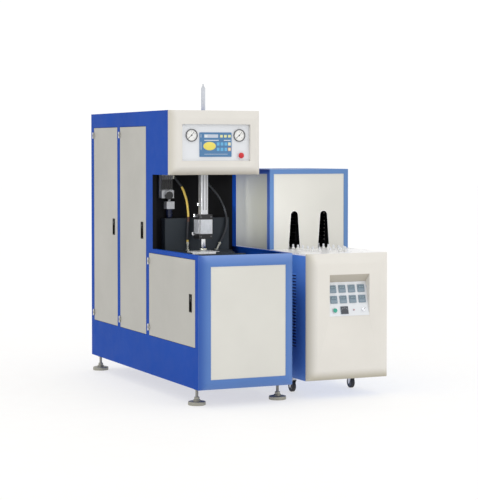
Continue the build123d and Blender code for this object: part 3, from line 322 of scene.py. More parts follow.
deep_blue = powder_coat("deep blue powder coat", (0.007, 0.061, 0.36), gloss=0.03)
finish_node(
    deep_blue, "tall_side_left", "low_side_left", "right_side", "roof_sheet", "rear_sheet", "base_frame"
)

# Doors on the left side: each a folded sheet in warm grey paint, hung on two barrel hinges at its rear edge.
# The side sheets of the lamp hood have a lighter coat of the same kind.
door_grey = powder_coat("warm grey door paint", (0.43, 0.42, 0.385), 0.45, gloss=0.3)
finish_node(door_grey, "rear_door", "middle_door", "low_door")
hood_grey = powder_coat("hood side paint", (0.44, 0.44, 0.365), 0.45, gloss=0.3)
finish_node(hood_grey, "hood_sides")


# Smooth cream shells of the head and of the oven front, and the table top: filled, sanded and painted.
# Their edges are soft and a little glossier than the sheets. The shells' colour darkens to beige below and on
# the left: painted shade, where their edges turn away from the light.
def soft_rectangle(width, height, corner, steps=6):
    """Closed outline of a rectangle with round corners: four quarter circles about the corner centres."""
    corner = max(min(corner, width / 2, height / 2), 0.00001)
    turn = np.linspace(0, np.pi / 2, steps)
    angle = np.concatenate([turn + quarter * np.pi / 2 for quarter in range(4)])
    side_x = np.repeat([1, -1, -1, 1], steps) * (width / 2 - corner)
    side_y = np.repeat([1, 1, -1, -1], steps) * (height / 2 - corner)
    ring = np.column_stack([side_x + corner * np.cos(angle), side_y + corner * np.sin(angle)])
    return np.vstack([ring, ring[:1]])


def soft_moulding(name, replaced, inset, window_front, window_rear, finish):
    """Closed frame with a pillowed edge, standing in for a CAD moulding of the same outline and depth.

    From the rear plane the outline runs straight forward a little way. Then it draws in by inset times one
    minus the cosine of a quarter turn to the power 1.5, and comes forward with the sine to the same power, up
    to the flat face. The face ends at the window, given as lowest and highest x and z in front and behind,
    whose walls run back.
    """
    straight, rear_corner, corner_growth, window_corner = 0.005, 0.004, 0.024, 0.0005
    low, high = np.array(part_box(replaced))
    middle, size = (low + high) / 2, high - low
    quarter = np.linspace(0, np.pi / 2, 12)
    draw = inset * (1 - np.clip(np.cos(quarter), 0, 1) ** 1.5)
    forward = straight + (size[1] - straight) * np.sin(quarter) ** 1.5
    corner = rear_corner + corner_growth * np.sin(quarter)
    rings = [(middle[0], middle[2], size[0], size[2], rear_corner, high[1])]
    for taken, ahead, turn_radius in zip(draw, forward, corner):
        width, height = size[0] - 2 * taken, size[2] - 2 * taken
        rings.append((middle[0], middle[2], width, height, turn_radius, high[1] - ahead))
    for window, depth in ((window_front, low[1]), (window_rear, high[1])):
        (left, right), (bottom, top) = window
        across, up = (left + right) / 2, (bottom + top) / 2
        rings.append((across, up, right - left, top - bottom, window_corner, depth))
    rings.append(rings[0])
    skin = []
    for across, up, width, height, turn_radius, depth in rings:
        x, z = soft_rectangle(width, height, turn_radius).T
        skin.append(np.column_stack([across + x, np.full(len(x), depth), up + z]))
    make_piece(name, [np.array(skin)], finish, replaced=replaced)


def face_window(name):
    """Lowest and highest x and z of a CAD node, for the window that the node fills."""
    low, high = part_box(name)
    return (low[0], high[0]), (low[2], high[2])


def painted_shading(made, shading_colour, axis, edge, reach):
    """Blend the base colour to a shading colour at an Object x or z, fading back over a reach in metres:
    painted shade, or a painted highlight where the shading colour is paler.
    """
    plain_colour = made.node_tree.nodes["Principled BSDF"].inputs["Base Color"].links[0].from_socket
    place = shader_node(made, "TexCoord")
    axes = shader_node(made, "SeparateXYZ", {"Vector": place.outputs["Object"]})
    span = {"From Min": edge, "From Max": edge + reach, "Value": axes.outputs[axis]}
    fade = shader_node(made, "MapRange", span)
    fade.interpolation_type = "SMOOTHSTEP"
    shading_mix = shader_node(made, "Mix")
    shading_mix.data_type = "RGBA"
    # Sockets of the colour mix: 0 is the factor, 6 is the painted shading colour and 7 the plain colour, and
    # output 2 is the blend.
    feed(made, {0: fade.outputs["Result"], 6: (*shading_colour, 1), 7: plain_colour}, shading_mix)
    feed(made, {"Base Color": shading_mix.outputs[2]})


def cream_coat(name):
    """Smooth cream paint of the mouldings."""
    return powder_coat(name, (0.71, 0.685, 0.635), 0.36, 0.00015, gloss=0.35)


fade_start = 0.01
head_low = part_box("head_moulding")[0]
head_cream = cream_coat("cream head paint, painted shade")
# The head's cream darkens towards its lower and left edges: painted shade.
painted_shading(head_cream, (0.53, 0.49, 0.41), "Z", head_low[2] - fade_start, 0.07)
painted_shading(head_cream, (0.56, 0.53, 0.46), "X", head_low[0] - fade_start, 0.07)
head_window = face_window("operator_panel")
soft_moulding("head_shell", "head_moulding", 0.056, head_window, head_window, head_cream)

oven_x, hollow_half = 0.402, 0.1535
hollow_x = (oven_x - hollow_half, oven_x + hollow_half)
oven_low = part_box("oven_moulding")[0]
oven_cream = cream_coat("cream oven paint, painted shade")
# The oven's cream darkens towards its lower and left edges: painted shade.
painted_shading(oven_cream, (0.43, 0.395, 0.3), "Z", oven_low[2] - fade_start, 0.085)
painted_shading(oven_cream, (0.49, 0.46, 0.38), "X", oven_low[0] - fade_start, 0.085)
hollow_mouth, hollow_rear = (hollow_x, (0.548, 0.845)), (hollow_x, (0.7299, 0.8018))
soft_moulding("oven_shell", "oven_moulding", 0.072, hollow_mouth, hollow_rear, oven_cream)
table_white = powder_coat("white table enamel", (0.88, 0.87, 0.86), 0.3, 0.0001)
finish_node(table_white, "table_top")

# Light blue pressed frame round the low front, with the flat cream sheet set into it and held from behind.
# Its colour is paler along the top, a painted highlight where the top catches more light, and darkens to the
# deep blue of the sides towards its left edge, a painted shade.
# The posts of the lamp hood are light blue in front, round a cream front sheet, and their left faces are
# darkened to deep blue: painted shade.
front_low, front_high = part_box("front_moulding")
frame_blue = powder_coat("light blue frame paint, painted light and shade", (0.085, 0.19, 0.48), 0.34, gloss=0.35)
# Painted highlight along the top edge and painted shade towards the left edge.
painted_shading(frame_blue, (0.16, 0.275, 0.6), "Z", front_high[2] + fade_start, -0.07)
painted_shading(frame_blue, (0.015, 0.08, 0.36), "X", front_low[0] - fade_start, 0.07)
front_window = face_window("front_panel")
soft_moulding(
    "front_shell", "front_moulding", 0.056, front_window, front_window, frame_blue
)
cream_sheet = powder_coat("cream panel paint", (0.66, 0.65, 0.6), 0.4)
finish_node(cream_sheet, "front_panel", "hood_mouths")
light_blue = powder_coat("light blue gloss paint, painted shade", (0.105, 0.22, 0.47), 0.34, gloss=0.35)
# The left faces of the posts are painted shade in deep blue.
painted_shading(light_blue, (0.02, 0.075, 0.33), "X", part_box("hood_frame")[0][0] - 0.001, 0.006)
finish_node(light_blue, "hood_frame")


# Hinges and castor forks: pressed or turned steel, zinc plated, with a faint crystal pattern.
# The leaves are screwed to the side sheets, and the forks turn in plates under the oven.
def worked_metal(name, colour, roughness, scale, stretch=(1, 1, 1), mark=0.1, bare=1.0):
    """Metal whose tool marks or crystals are a stretched noise in its shade, gloss and relief.

    Bare is 1 for clean metal and less where an oxide dulls it.
    """
    made = shader(name, colour, roughness, bare)
    lines = grain(made, scale, 6, stretch)
    tint(made, lines, *shades(colour, mark))
    vary(made, "Roughness", lines, roughness - 0.06, roughness + 0.08)
    relief(made, lines, 0.00005)
    return made


zinc = worked_metal("zinc plate", (0.62, 0.63, 0.65), 0.34, 60)
finish_node(zinc, "hinge_halves", "castor_mounts", "castor_fork_left", "castor_fork_right")

# Studs of the feet: zinc plated threaded rod, whose thread is a relief of rings 2.5 mm apart.
# The lock nuts are on the same stud, and the rings show on their flats as no more than a sheen.
thread_zinc = shader("threaded zinc", (0.34, 0.33, 0.3), 0.36, 1.0)
thread_place = shader_node(thread_zinc, "TexCoord").outputs["Object"]
thread_rings = shader_node(thread_zinc, "TexWave", {"Scale": 125, "Vector": thread_place})
thread_rings.bands_direction = "Z"
vary(thread_zinc, "Roughness", grain(thread_zinc, 80, 4), 0.3, 0.45)
relief(thread_zinc, thread_rings.outputs["Fac"], 0.0008)
finish_node(thread_zinc, "foot_studs")


# Screws of the hinge leaves: button heads with a small round recess, two to each fixed leaf.
# They are turned from zinc plated wire, and ride with the side sheet that they hold the leaf to.
def turned(profile, centres, axis, sides=32, ribs=0, rib_share=0.0, ribbed_from=0.0):
    """Surfaces of revolution: at each angle the profile's radius is laid off square to the axis.

    The profile is pairs of distance along the axis and radius, and a radius of zero closes an end. Radii over
    ribbed_from are multiplied by one plus a cosine wave of that many ribs, which is rib_share high.
    """
    profile = np.array(profile, float)
    along = np.array(axis, float) / np.linalg.norm(axis)
    other = np.array((0, 0, 1.0)) if abs(along[2]) < 0.9 else np.array((1.0, 0, 0))
    first = np.cross(along, other)
    first /= np.linalg.norm(first)
    second = np.cross(along, first)
    angle = np.linspace(0, 2 * np.pi, sides + 1)
    spoke = np.cos(angle)[:, None] * first + np.sin(angle)[:, None] * second
    wave = 1 + rib_share * np.cos(ribs * angle)
    reach = profile[:, 1, None] * np.where(profile[:, 1, None] > ribbed_from, wave, 1)
    shape = profile[:, 0, None, None] * along + reach[:, :, None] * spoke
    return [shape + centre for centre in np.atleast_2d(np.array(centres, float))]


blower_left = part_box("tall_side_left")[0][0]
leaf_thickness, leaf_middle, hinge_inset, half_gap = 0.002, 0.0115, 0.056, 0.013
screw_places = [
    (blower_left - leaf_thickness, high[1] + leaf_middle, z + offset)
    for low, high in (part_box(name) for name in ("rear_door", "middle_door", "low_door"))
    for z in (low[2] + hinge_inset, high[2] - hinge_inset)
    for offset in (-half_gap, half_gap)
]
button_head = [
    (0, 0), (0, 0.0034), (0.0007, 0.0033), (0.0014, 0.0024), (0.0018, 0.0013), (0.0018, 0.0008), (0.001, 0),
]
make_piece("hinge_screws", turned(button_head, screw_places, (-1, 0, 0), 16), zinc)

# Pads of the levelling feet: cast iron discs, bare under a thin wax, with a low crown and a flanged collar.
# Each is turned about its own stud, and the discs replace the plainer cones of the CAD pads.
foot_metal = worked_metal("cast foot metal", (0.36, 0.35, 0.3), 0.5, 90, bare=0.7)
pads_low, pads_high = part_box("foot_pads")
pad_radius = 0.059
pad_places = [
    (x, y, 0)
    for x in (pads_low[0] + pad_radius, pads_high[0] - pad_radius)
    for y in (pads_low[1] + pad_radius, pads_high[1] - pad_radius)
]
pad_profile = [
    (0, 0), (0, 0.0565), (0.0025, pad_radius), (0.0205, pad_radius), (0.0238, 0.0568), (0.026, 0.048),
    (0.0275, 0.026), (0.028, 0.022), (0.028, 0),
]
pad_discs = turned(pad_profile, pad_places, (0, 0, 1), 48)
make_piece("foot_discs", pad_discs, foot_metal, replaced="foot_pads")
collar_ring = [
    (0.0278, 0.01), (0.0278, 0.0245), (0.035, 0.0245), (0.038, 0.0185), (0.052, 0.0175), (0.054, 0.016),
    (0.054, 0.01), (0.0278, 0.01),
]
make_piece("foot_collars", turned(collar_ring, pad_places, (0, 0, 1), 40), foot_metal)


# Flush handles of the doors: a black moulded dish with a lift-up paddle, and a dark key cylinder in it.
# The dish is clipped into the door from outside, so everything here rides with its door.
def pressed(width, height, corner, profile, centre, right=(1, 0, 0), up=(0, 0, 1)):
    """Plate whose rounded outline shrinks by an inset as it rises, pair by pair, and then closes flat.

    Heights are measured outwards from the centre, along the cross product of right and up.
    """
    right, up = np.array(right, float), np.array(up, float)
    out = np.cross(right, up)
    rings = [soft_rectangle(width - 2 * inset, height - 2 * inset, corner - inset) for inset, rise in profile]
    closed = np.zeros_like(rings[0])
    rises = [profile[0][1]] + [rise for inset, rise in profile] + [profile[-1][1]]
    flat = np.array([closed] + rings + [closed])
    level = np.array(rises)[:, None, None]
    return np.array(centre, float) + flat[..., :1] * right + flat[..., 1:] * up + level * out


handle_black = powder_coat("satin handle plastic", (0.016, 0.016, 0.015), 0.5, 0.0001, 0.2, 0.04)
barrel_steel = worked_metal("darkened barrel steel", (0.05, 0.05, 0.052), 0.4, 30, bare=0.4)
paddle_up = 0.034
paddle_rise = [(0, -0.001), (0, 0.0006), (0.0012, 0.0012)]
barrel = [(0, 0), (0, 0.0065), (0.001, 0.0065), (0.0014, 0.006), (0.0014, 0.0012), (0.0008, 0)]
for door in ("rear_door", "middle_door", "low_door"):
    finish_node(handle_black, door + "_handle")
    low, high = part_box(door + "_handle")
    dish = np.array((low[0], (low[1] + high[1]) / 2, (low[2] + high[2]) / 2))
    paddle = pressed(0.032, 0.042, 0.005, paddle_rise, dish + (0.0013, 0, paddle_up), (0, -1, 0))
    make_piece(door + "_paddle", [paddle], handle_black, door)
    key_barrel = turned(barrel, dish + (0.0004, 0, paddle_up), (-1, 0, 0), 24)
    make_piece(door + "_key_barrel", key_barrel, barrel_steel, door)


# Operator panel: a white coated plate screwed into the window of the head.
# Four small chromed screws hold it, close to its corners.
white_plate = powder_coat("white plate coating", (0.74, 0.76, 0.79), 0.32, 0.0001)
finish_node(white_plate, "operator_panel", "control_panel")
panel_low, panel_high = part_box("operator_panel")
panel_middle = (panel_low[0] + panel_high[0]) / 2
panel_thickness, screw_inset = 0.003, 0.012
panel_screws = [
    (x, panel_high[1] - panel_thickness, z)
    for x in (panel_low[0] + screw_inset, panel_high[0] - screw_inset)
    for z in (panel_low[2] + screw_inset, panel_high[2] - screw_inset)
]
chrome = worked_metal("hard chrome", (0.8, 0.81, 0.83), 0.12, 30, mark=0.03)
make_piece("panel_screws", turned(button_head, panel_screws, (0, -1, 0), 16), chrome)

# Two pressure gauges: a dark chromed bezel rolled round a white dial with a black scale and a black needle.
# The scale runs over three quarters of a turn, with a long mark at every fifth step.
gauge_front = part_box("pressure_gauges")[0][1]
dial_y = gauge_front + 0.006
gauge_side, gauge_z = 0.179, 1.792
gauge_centres = [(panel_middle - gauge_side, gauge_z), (panel_middle + gauge_side, gauge_z)]
gauge_at = np.array([(x, 0, z) for x, z in gauge_centres])
bezel = [
    (0.0045, 0.0372), (0.0045, 0.0431), (0.0006, 0.0431), (-0.0004, 0.0424), (-0.0008, 0.0406),
    (-0.0004, 0.0388), (0.0016, 0.0376), (0.0045, 0.0372),
]
bezels = turned(bezel, gauge_at + (0, gauge_front, 0), (0, 1, 0), 64)
gauge_rim = worked_metal("dark chromed bezel", (0.1, 0.1, 0.105), 0.3, 30, mark=0.03, bare=0.4)
finish_node(gauge_rim, "pressure_gauges")
make_piece("gauge_bezels", bezels, gauge_rim)

dial_white = powder_coat("printed dial white", (0.86, 0.86, 0.84), 0.5, 0.00001, 0.02)
dial = [(0, 0), (0, 0.0384), (0.0004, 0.0384), (0.0004, 0)]
dials = turned(dial, gauge_at + (0, dial_y - 0.0006, 0), (0, 1, 0), 64)
make_piece("gauge_dials", dials, dial_white)


def rays(angle, right=(1, 0, 0), up=(0, 0, 1)):
    """Unit vector at an angle from right towards up, and the one a quarter turn further on."""
    right, up = np.array(right, float), np.array(up, float)
    return right * np.cos(angle) + up * np.sin(angle), up * np.cos(angle) - right * np.sin(angle)


ink = powder_coat("black printing ink", (0.015, 0.015, 0.018), 0.55, 0.00001, 0.1)
scale_start, scale_sweep, scale_steps = radians(225), radians(270), 20
long_mark, short_mark, mark_ring = (0.0062, 0.0011), (0.0036, 0.0006), 0.0352
mark_rise, needle_rise = [(0, -0.0001), (0, 0.0001)], [(0, -0.0003), (0, 0.0003)]
marks = []
for step in range(scale_steps + 1):
    ray = rays(scale_start - scale_sweep * step / scale_steps)
    length, width = short_mark if step % 5 else long_mark
    for x, z in gauge_centres:
        mark_at = np.array((x, dial_y - 0.0007, z)) + ray[0] * (mark_ring - length / 2)
        marks.append(pressed(length, width, 0.0001, mark_rise, mark_at, *ray))
needle = rays(radians(52))
for x, z in gauge_centres:
    needle_at = np.array((x, dial_y - 0.0022, z)) + needle[0] * 0.011
    marks.append(pressed(0.036, 0.0022, 0.0006, needle_rise, needle_at, *needle))
hub = [(-0.003, 0), (-0.003, 0.003), (-0.0028, 0.0036), (0.0015, 0.0036), (0.0015, 0)]
marks += turned(hub, gauge_at + (0, dial_y, 0), (0, 1, 0), 24)
make_piece("gauge_scales", marks, ink)

# Numbers of the two scales: plain figures from 0 to 16, printed in black inside the long marks.
# Each is text made a mesh, laid flat on its dial and a hair proud of it.
number_ring = 0.0232
for gauge, (x, z) in zip(("left", "right"), gauge_centres):
    for step in range(5):
        angle = scale_start - scale_sweep * step / 4
        figures = bpy.data.curves.new("number", "FONT")
        figures.body = str(4 * step)
        figures.size = 0.0078
        figures.align_x = "CENTER"
        figures.align_y = "CENTER"
        figures.extrude = 0.00006
        flat, spots = drawn(figures)
        put = np.column_stack([spots[:, 0], -spots[:, 2], spots[:, 1]])
        put += (x + number_ring * np.cos(angle), dial_y - 0.0008, z + number_ring * np.sin(angle))
        flat.vertices.foreach_set("co", put.ravel())
        flat.update()
        flat.materials.clear()
        flat.materials.append(ink)
        placed_piece(f"gauge_number_{gauge}_{4 * step}", flat)


# Keypad and display: a blue printed membrane on the display unit, with its window, keys and strips.
# They are raised a hair. Each colour is one piece, laid out in millimetres from the middle of the membrane.
# The oval key is a plain yellow ellipse of half widths 46.5 and 29 mm, and rises as the other keys do.
def printed(name, spots, finish):
    """Low rounded pads on the membrane, from across, up, width, height and corner in millimetres."""
    pads = []
    for across, up, width, height, corner in spots:
        centre = (panel_middle + across / 1000, membrane_y, screen_z + up / 1000)
        pads.append(pressed(width / 1000, height / 1000, corner / 1000, pad_rise, centre))
    make_piece(name, pads, finish)


screen_low, screen_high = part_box("display_unit")
membrane_y = screen_low[1]
screen_z = (screen_low[2] + screen_high[2]) / 2
pad_rise = [(0, -0.0002), (0, 0.0003), (0.0004, 0.0006)]
membrane_blue = powder_coat("blue printed membrane", (0.072, 0.2, 0.39), 0.35, 0.0001)
finish_node(membrane_blue, "display_unit")
window_grey = powder_coat("grey display window", (0.55, 0.61, 0.7), 0.18, 0.00001)
printed("display_window", [(-33.5, 58.7, 104, 23, 2)], window_grey)
lit_at = (panel_middle - 0.073, membrane_y, screen_z + 0.0587)
lit_square = pressed(0.022, 0.017, 0.001, [(0, 0.0006), (0, 0.0008)], lit_at)
window_lit = powder_coat("lit display square", (0.72, 0.78, 0.8), 0.2, 0.00001)
make_piece("display_lit_square", [lit_square], window_lit)
strips = [
    (-31.4, 29.7, 108, 5, 1), (86.8, 29.7, 50, 5, 1), (2, -65.5, 174, 2, 0.5), (-109.7, 60, 3, 22, 1),
    (-109.7, -8, 3, 54, 1),
]
strip_white = powder_coat("white membrane print", (0.74, 0.78, 0.82), 0.4, 0.00001)
printed("membrane_strips", strips, strip_white)

key_yellow = powder_coat("yellow green keys", (0.74, 0.74, 0.36), 0.4, 0.00001)
printed("membrane_top_keys", [(x, 58.2, 20, 18, 3) for x in (43.4, 73.2, 103.4)], key_yellow)
oval_yellow = powder_coat("yellow oval key", (0.82, 0.7, 0.13), 0.4, 0.00001)
oval_turn = np.linspace(0, 2 * np.pi, 49)
oval_reach = np.array([0, 1, 1, 0.98, 0])[:, None]
oval_rise = np.array([-0.0002, -0.0002, 0.0003, 0.0006, 0.0006])[:, None]
oval_x = panel_middle - 0.0455 + 0.0465 * oval_reach * np.cos(oval_turn)
oval_z = screen_z - 0.0102 + 0.029 * oval_reach * np.sin(oval_turn)
oval = np.stack([oval_x, membrane_y - oval_rise + 0 * oval_turn, oval_z], -1)
make_piece("membrane_oval_key", [oval], oval_yellow)
key_cyan = powder_coat("pale blue keys", (0.13, 0.43, 0.7), 0.4, 0.00001)
number_keys = [(x, z, 20, 22, 3) for x in (18.6, 47.6, 76.6) for z in (4.6, -32.3)]
printed("membrane_number_keys", number_keys, key_cyan)
key_edge = powder_coat("orange key edge", (0.7, 0.2, 0.05), 0.4, 0.00001)
printed("membrane_edge_key", [(103.4, -32.3, 22, 24, 3)], key_edge)
key_pale = powder_coat("pale keys", (0.78, 0.74, 0.5), 0.4, 0.00001)
printed("membrane_pale_key", [(103.4, 4.6, 20, 22, 3)], key_pale)
face_rise = [(0, 0.0006), (0, 0.0009), (0.0003, 0.0011)]
face_at = (panel_middle + 0.1034, membrane_y, screen_z - 0.0323)
make_piece("membrane_edge_key_face", [pressed(0.017, 0.019, 0.0025, face_rise, face_at)], key_pale)

# Emergency stop: a red moulded mushroom head, domed on top and flat below, whose stem runs into its collar.
# It slides with its own body, and its widest ring stands just under the dome.
red_plastic = powder_coat("red moulded plastic", (0.58, 0.018, 0.025), 0.24, 0.00005, 0.06)
stop_low, stop_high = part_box("stop_button")
stop_at = ((stop_low[0] + stop_high[0]) / 2, 0, (stop_low[2] + stop_high[2]) / 2)
stop_front, stop_rear = stop_low[1], stop_high[1]
turn = np.linspace(0, np.pi / 2, 12)
dome = np.column_stack([stop_front + 0.0085 * (1 - np.cos(turn)), 0.02 * np.sin(turn)])
skirt = [(stop_front + 0.0125, 0.02), (stop_front + 0.014, 0.0188), (stop_front + 0.014, 0.008)]
mushroom = turned(np.vstack([dome, skirt, [(stop_rear, 0.008), (stop_rear, 0)]]), stop_at, (0, 1, 0), 48)
make_piece("stop_mushroom", mushroom, red_plastic, "stop_button", "stop_button")


# Bay: a dark painted lining and bed, with the clamp, platens and guard in slate grey hammer finish.
# The steel plates are flame cut and milled, and their paint shows a coarse relief.
# A black strip covers the folded edge of the side sheet where it turns into the bay.
dark_sheet = powder_coat("black sheet paint", (0.006, 0.006, 0.007), 0.55, gloss=0.12)
finish_node(dark_sheet, "bay_lining", "clamp_bed")
slate = powder_coat("slate hammer paint", (0.036, 0.045, 0.055), 0.42, 0.0012, gloss=0.25)
finish_node(slate, "clamp_guard", "clamp_frame", "clamp_cylinder", "moving_platen")
strip_rise = [(0, -0.0002), (0, 0.0012), (0.0004, 0.0016)]
edge_strip = pressed(0.0296, 0.5196, 0.0005, strip_rise, (-0.701, -0.213, 1.26))
make_piece("bay_edge_strip", [edge_strip], dark_sheet)

# Electric plate behind the rear door: a steel plate with rows of switchgear clipped on rails.
# It shows only when that door is open, so it all has the grey of the switchgear's moulded cases.
electric_grey = powder_coat("grey switchgear plastic", (0.3, 0.31, 0.32), 0.45)
finish_node(electric_grey, "electric_plate")

# Stretch cylinder: a drawn aluminium profile with two dark grooves down each face, capped at either end.
# The seal cylinder under it is a machined block of the same alloy between two black caps.
aluminium = worked_metal("drawn aluminium", (0.62, 0.63, 0.65), 0.34, 40, (8, 8, 0.3), bare=0.45)
finish_node(aluminium, "stretch_cylinder", "seal_cylinder")
finish_node(chrome, "seal_rod", "clamp_rod")
satin_steel = worked_metal("satin steel", (0.58, 0.6, 0.64), 0.3, 60, (1, 1, 0.2))
finish_node(satin_steel, "stretch_rod")
axis_x, axis_y = -0.374, -0.313
groove_low, groove_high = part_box("stretch_cylinder")[0][2] + 0.03, 1.515
half_profile, groove_side = 0.0265, 0.011
groove_rise = [(0, -0.0004), (0, 0.0002)]
grooves = []
for right in ((1, 0, 0), (-1, 0, 0), (0, -1, 0), (0, 1, 0)):
    face_at = np.array((axis_x, axis_y, (groove_low + groove_high) / 2))
    face_at += half_profile * np.cross(right, (0, 0, 1))
    for sideways in (-groove_side, groove_side):
        groove_at = face_at + np.array(right) * sideways
        grooves.append(pressed(0.0045, groove_high - groove_low, 0.001, groove_rise, groove_at, right))
# The grooves are flat dark strips on the faces: painted shade of the slots in the profile.
groove_dark = powder_coat("shaded groove", (0.03, 0.03, 0.033), 0.6, 0.00005, 0.1)
make_piece("profile_grooves", grooves, groove_dark)

# Seal cylinder: a bright face plate with rounded corners on its front and one on its left, by a dark joint.
# The plates are paler and less metallic than the block: painted light on the left, which the lamps hardly
# reach, and in part on the front.
# Two black socket screws show on the front of either cap, and plated elbows take the air to the three ports.
black_plastic = powder_coat("black moulded plastic", (0.012, 0.012, 0.013), 0.35, 0.0001, 0.2)
finish_node(black_plastic, "seal_caps")
seal_low, seal_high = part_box("seal_cylinder")
seal_left, seal_front, seal_z = seal_low[0], seal_low[1], (seal_low[2] + seal_high[2]) / 2
plate_rise, joint_rise = [(0, -0.0002), (0, 0.0014), (0.0008, 0.002)], [(0, -0.0002), (0, 0.0005)]
seal_plates = [
    pressed(0.076, 0.096, 0.014, plate_rise, (axis_x - 0.003, seal_front, seal_z)),
    pressed(0.086, 0.094, 0.003, plate_rise, (seal_left, axis_y, seal_z), (0, -1, 0)),
]
# The plates' paleness is partly painted light, most of all on the left face.
seal_plate_and_painted_light = worked_metal("bright seal plate and painted light", (0.56, 0.58, 0.61), 0.34, 60, bare=0.25)
make_piece("seal_face_plates", seal_plates, seal_plate_and_painted_light)
joint = pressed(0.005, 0.098, 0.001, joint_rise, (seal_left + 0.0045, seal_front, seal_z))
make_piece("seal_plate_joint", [joint], groove_dark)
elbow_arm = [
    (-0.0006, 0), (-0.0006, 0.0085), (0.003, 0.0085), (0.003, 0.0062), (0.014, 0.0062), (0.018, 0.004),
    (0.018, 0),
]
elbow_rise = [
    (-0.004, 0), (-0.003, 0.004), (0, 0.006), (0.01, 0.006), (0.01, 0.0075), (0.018, 0.0075), (0.019, 0.005),
    (0.019, 0),
]
ports = np.array([(seal_left, -0.305, 1.226), (seal_left, -0.275, 1.096), (-0.4005, axis_y, 1.303)])
elbows = turned(elbow_arm, ports, (-1, 0, 0), 24) + turned(elbow_rise, ports - (0.013, 0, 0), (0, 0, 1), 24)
make_piece("port_elbows", elbows, chrome)
cap_low, cap_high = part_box("seal_caps")
screw_side, screw_rise = 0.038, 0.018
cap_screws = [
    (axis_x + x, cap_low[1], z)
    for x in (-screw_side, screw_side)
    for z in (cap_low[2] + screw_rise, cap_high[2] - screw_rise)
]
socket_head = [
    (0, 0), (0, 0.0055), (0.0012, 0.0055), (0.0016, 0.005), (0.0016, 0.0028), (0.0004, 0.0026), (0.0004, 0),
]
socket_steel = worked_metal("black oxide steel", (0.16, 0.16, 0.17), 0.35, 60)
make_piece("cap_screws", turned(socket_head, cap_screws, (0, -1, 0), 20), socket_steel)

# Nozzle nut: a turned ring on the lower end of the seal rod, nickel plated, with a knurl round its rim.
# The unions of the two hoses have the same plating.
nickel = worked_metal("nickel plate", (0.62, 0.62, 0.54), 0.25, 50, (1, 1, 6), bare=0.6)
nut_profile = [
    (0.987, 0.0185), (0.987, 0.0242), (0.9885, 0.0248), (1.0005, 0.0248), (1.0015, 0.0242), (1.0015, 0.0185),
    (0.987, 0.0185),
]
nut = turned(nut_profile, (axis_x, axis_y, 0), (0, 0, 1), 96, ribs=24, rib_share=0.012, ribbed_from=0.024)
make_piece("nozzle_nut", nut, nickel, "seal_rod")
finish_node(nickel, "hose_unions")

# Mould: two milled aluminium halves, each with half of a bright neck plate screwed on top.
# The front half rides with the clamp, and the rear one stays with the rear platen.
# A plate's edge is the rectangle that rays from the neck meet, and its bore is a half circle round the neck.
milled = worked_metal("milled aluminium", (0.66, 0.67, 0.68), 0.34, 60, (0.4, 10, 4))
finish_node(milled, "mould_rear", "mould_front")
neck_bright = worked_metal("polished neck plate", (0.93, 0.94, 0.95), 0.3, 60, bare=0.1)
neck_radius, neck_rise, neck_margin = 0.03, 0.017, 0.004
angle = np.linspace(0, np.pi, 41)
ray = np.column_stack([np.cos(angle), np.sin(angle)])
nearly_none = 0.000001
for mould, body, side in (("mould_rear", "machine", 1), ("mould_front", "moving_clamp", -1)):
    low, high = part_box(mould)
    half_width, depth = (high[0] - low[0]) / 2 - neck_margin, high[1] - low[1] - neck_margin
    to_side = half_width / np.maximum(np.abs(ray[:, 0]), nearly_none)
    to_end = depth / np.maximum(ray[:, 1], nearly_none)
    inside, outside = ray * neck_radius, ray * np.minimum(to_side, to_end)[:, None]
    parting = high[1] if side < 0 else low[1]
    outline = np.array([inside, inside, outside, outside, inside])
    level = high[2] + np.array([0, neck_rise, neck_rise, 0, 0])[:, None] + 0 * outline[..., 0]
    plate = np.stack([axis_x + outline[..., 0], parting + side * outline[..., 1], level], -1)
    caps = [np.concatenate([plate[[0, 1], end][:, None], plate[[3, 2], end][:, None]], 1) for end in (0, -1)]
    make_piece(mould + "_neck_plate", [plate] + caps, neck_bright, body)
    screws = [
        (x, y, high[2] + neck_rise)
        for x in (low[0] + 0.018, high[0] - 0.018)
        for y in (low[1] + 0.02, high[1] - 0.02)
    ]
    make_piece(mould + "_screws", turned(socket_head, screws, (0, 0, 1), 20), socket_steel, body)

# Cap strip of the moving platen: a bright bar along its top edge with a thinner one down its front.
# Both are ground steel, and ride with the clamp.
platen_low, platen_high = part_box("moving_platen")
cap_width, cap_x, cap_z = 0.176, -0.419, 0.9735
front_rise = [(0, -0.0004), (0, 0.0016), (0.0006, 0.0022)]
top_rise = [(0, -0.0004), (0, 0.0044), (0.0006, 0.005)]
cap_front = pressed(cap_width, 0.023, 0.002, front_rise, (cap_x, platen_low[1], cap_z))
cap_top_at = (cap_x, platen_low[1] + 0.0132, platen_high[2])
cap_top = pressed(cap_width, 0.03, 0.001, top_rise, cap_top_at, (1, 0, 0), (0, 1, 0))
make_piece("platen_cap_strip", [cap_front, cap_top], neck_bright, "moving_clamp")

# Valve bank: slim solenoid valves side by side on a light alloy manifold, a grey coil above each black body.
# Each is screwed to the manifold from the front.
cast_alloy = worked_metal("cast alloy", (0.55, 0.56, 0.58), 0.42, 90, bare=0.4)
finish_node(cast_alloy, "valve_bank")
valve_face, valve_first, valve_pitch = -0.172, -0.6235, 0.017
coil_rise = [(0, -0.0002), (0, 0.003), (0.0006, 0.0036)]
body_rise = [(0, -0.0002), (0, 0.0012), (0.0006, 0.0018)]
valve_x = [valve_first + valve_pitch * step for step in range(5)]
coils = [pressed(0.0118, 0.024, 0.001, coil_rise, (x, valve_face, 1.499)) for x in valve_x]
bodies = [pressed(0.0142, 0.072, 0.001, body_rise, (x, valve_face, 1.4495)) for x in valve_x]
coil_grey = powder_coat("grey coil plastic", (0.13, 0.13, 0.14), 0.4, 0.0001, 0.2)
make_piece("valve_coils", coils, coil_grey)
make_piece("valve_bodies", bodies, black_plastic)

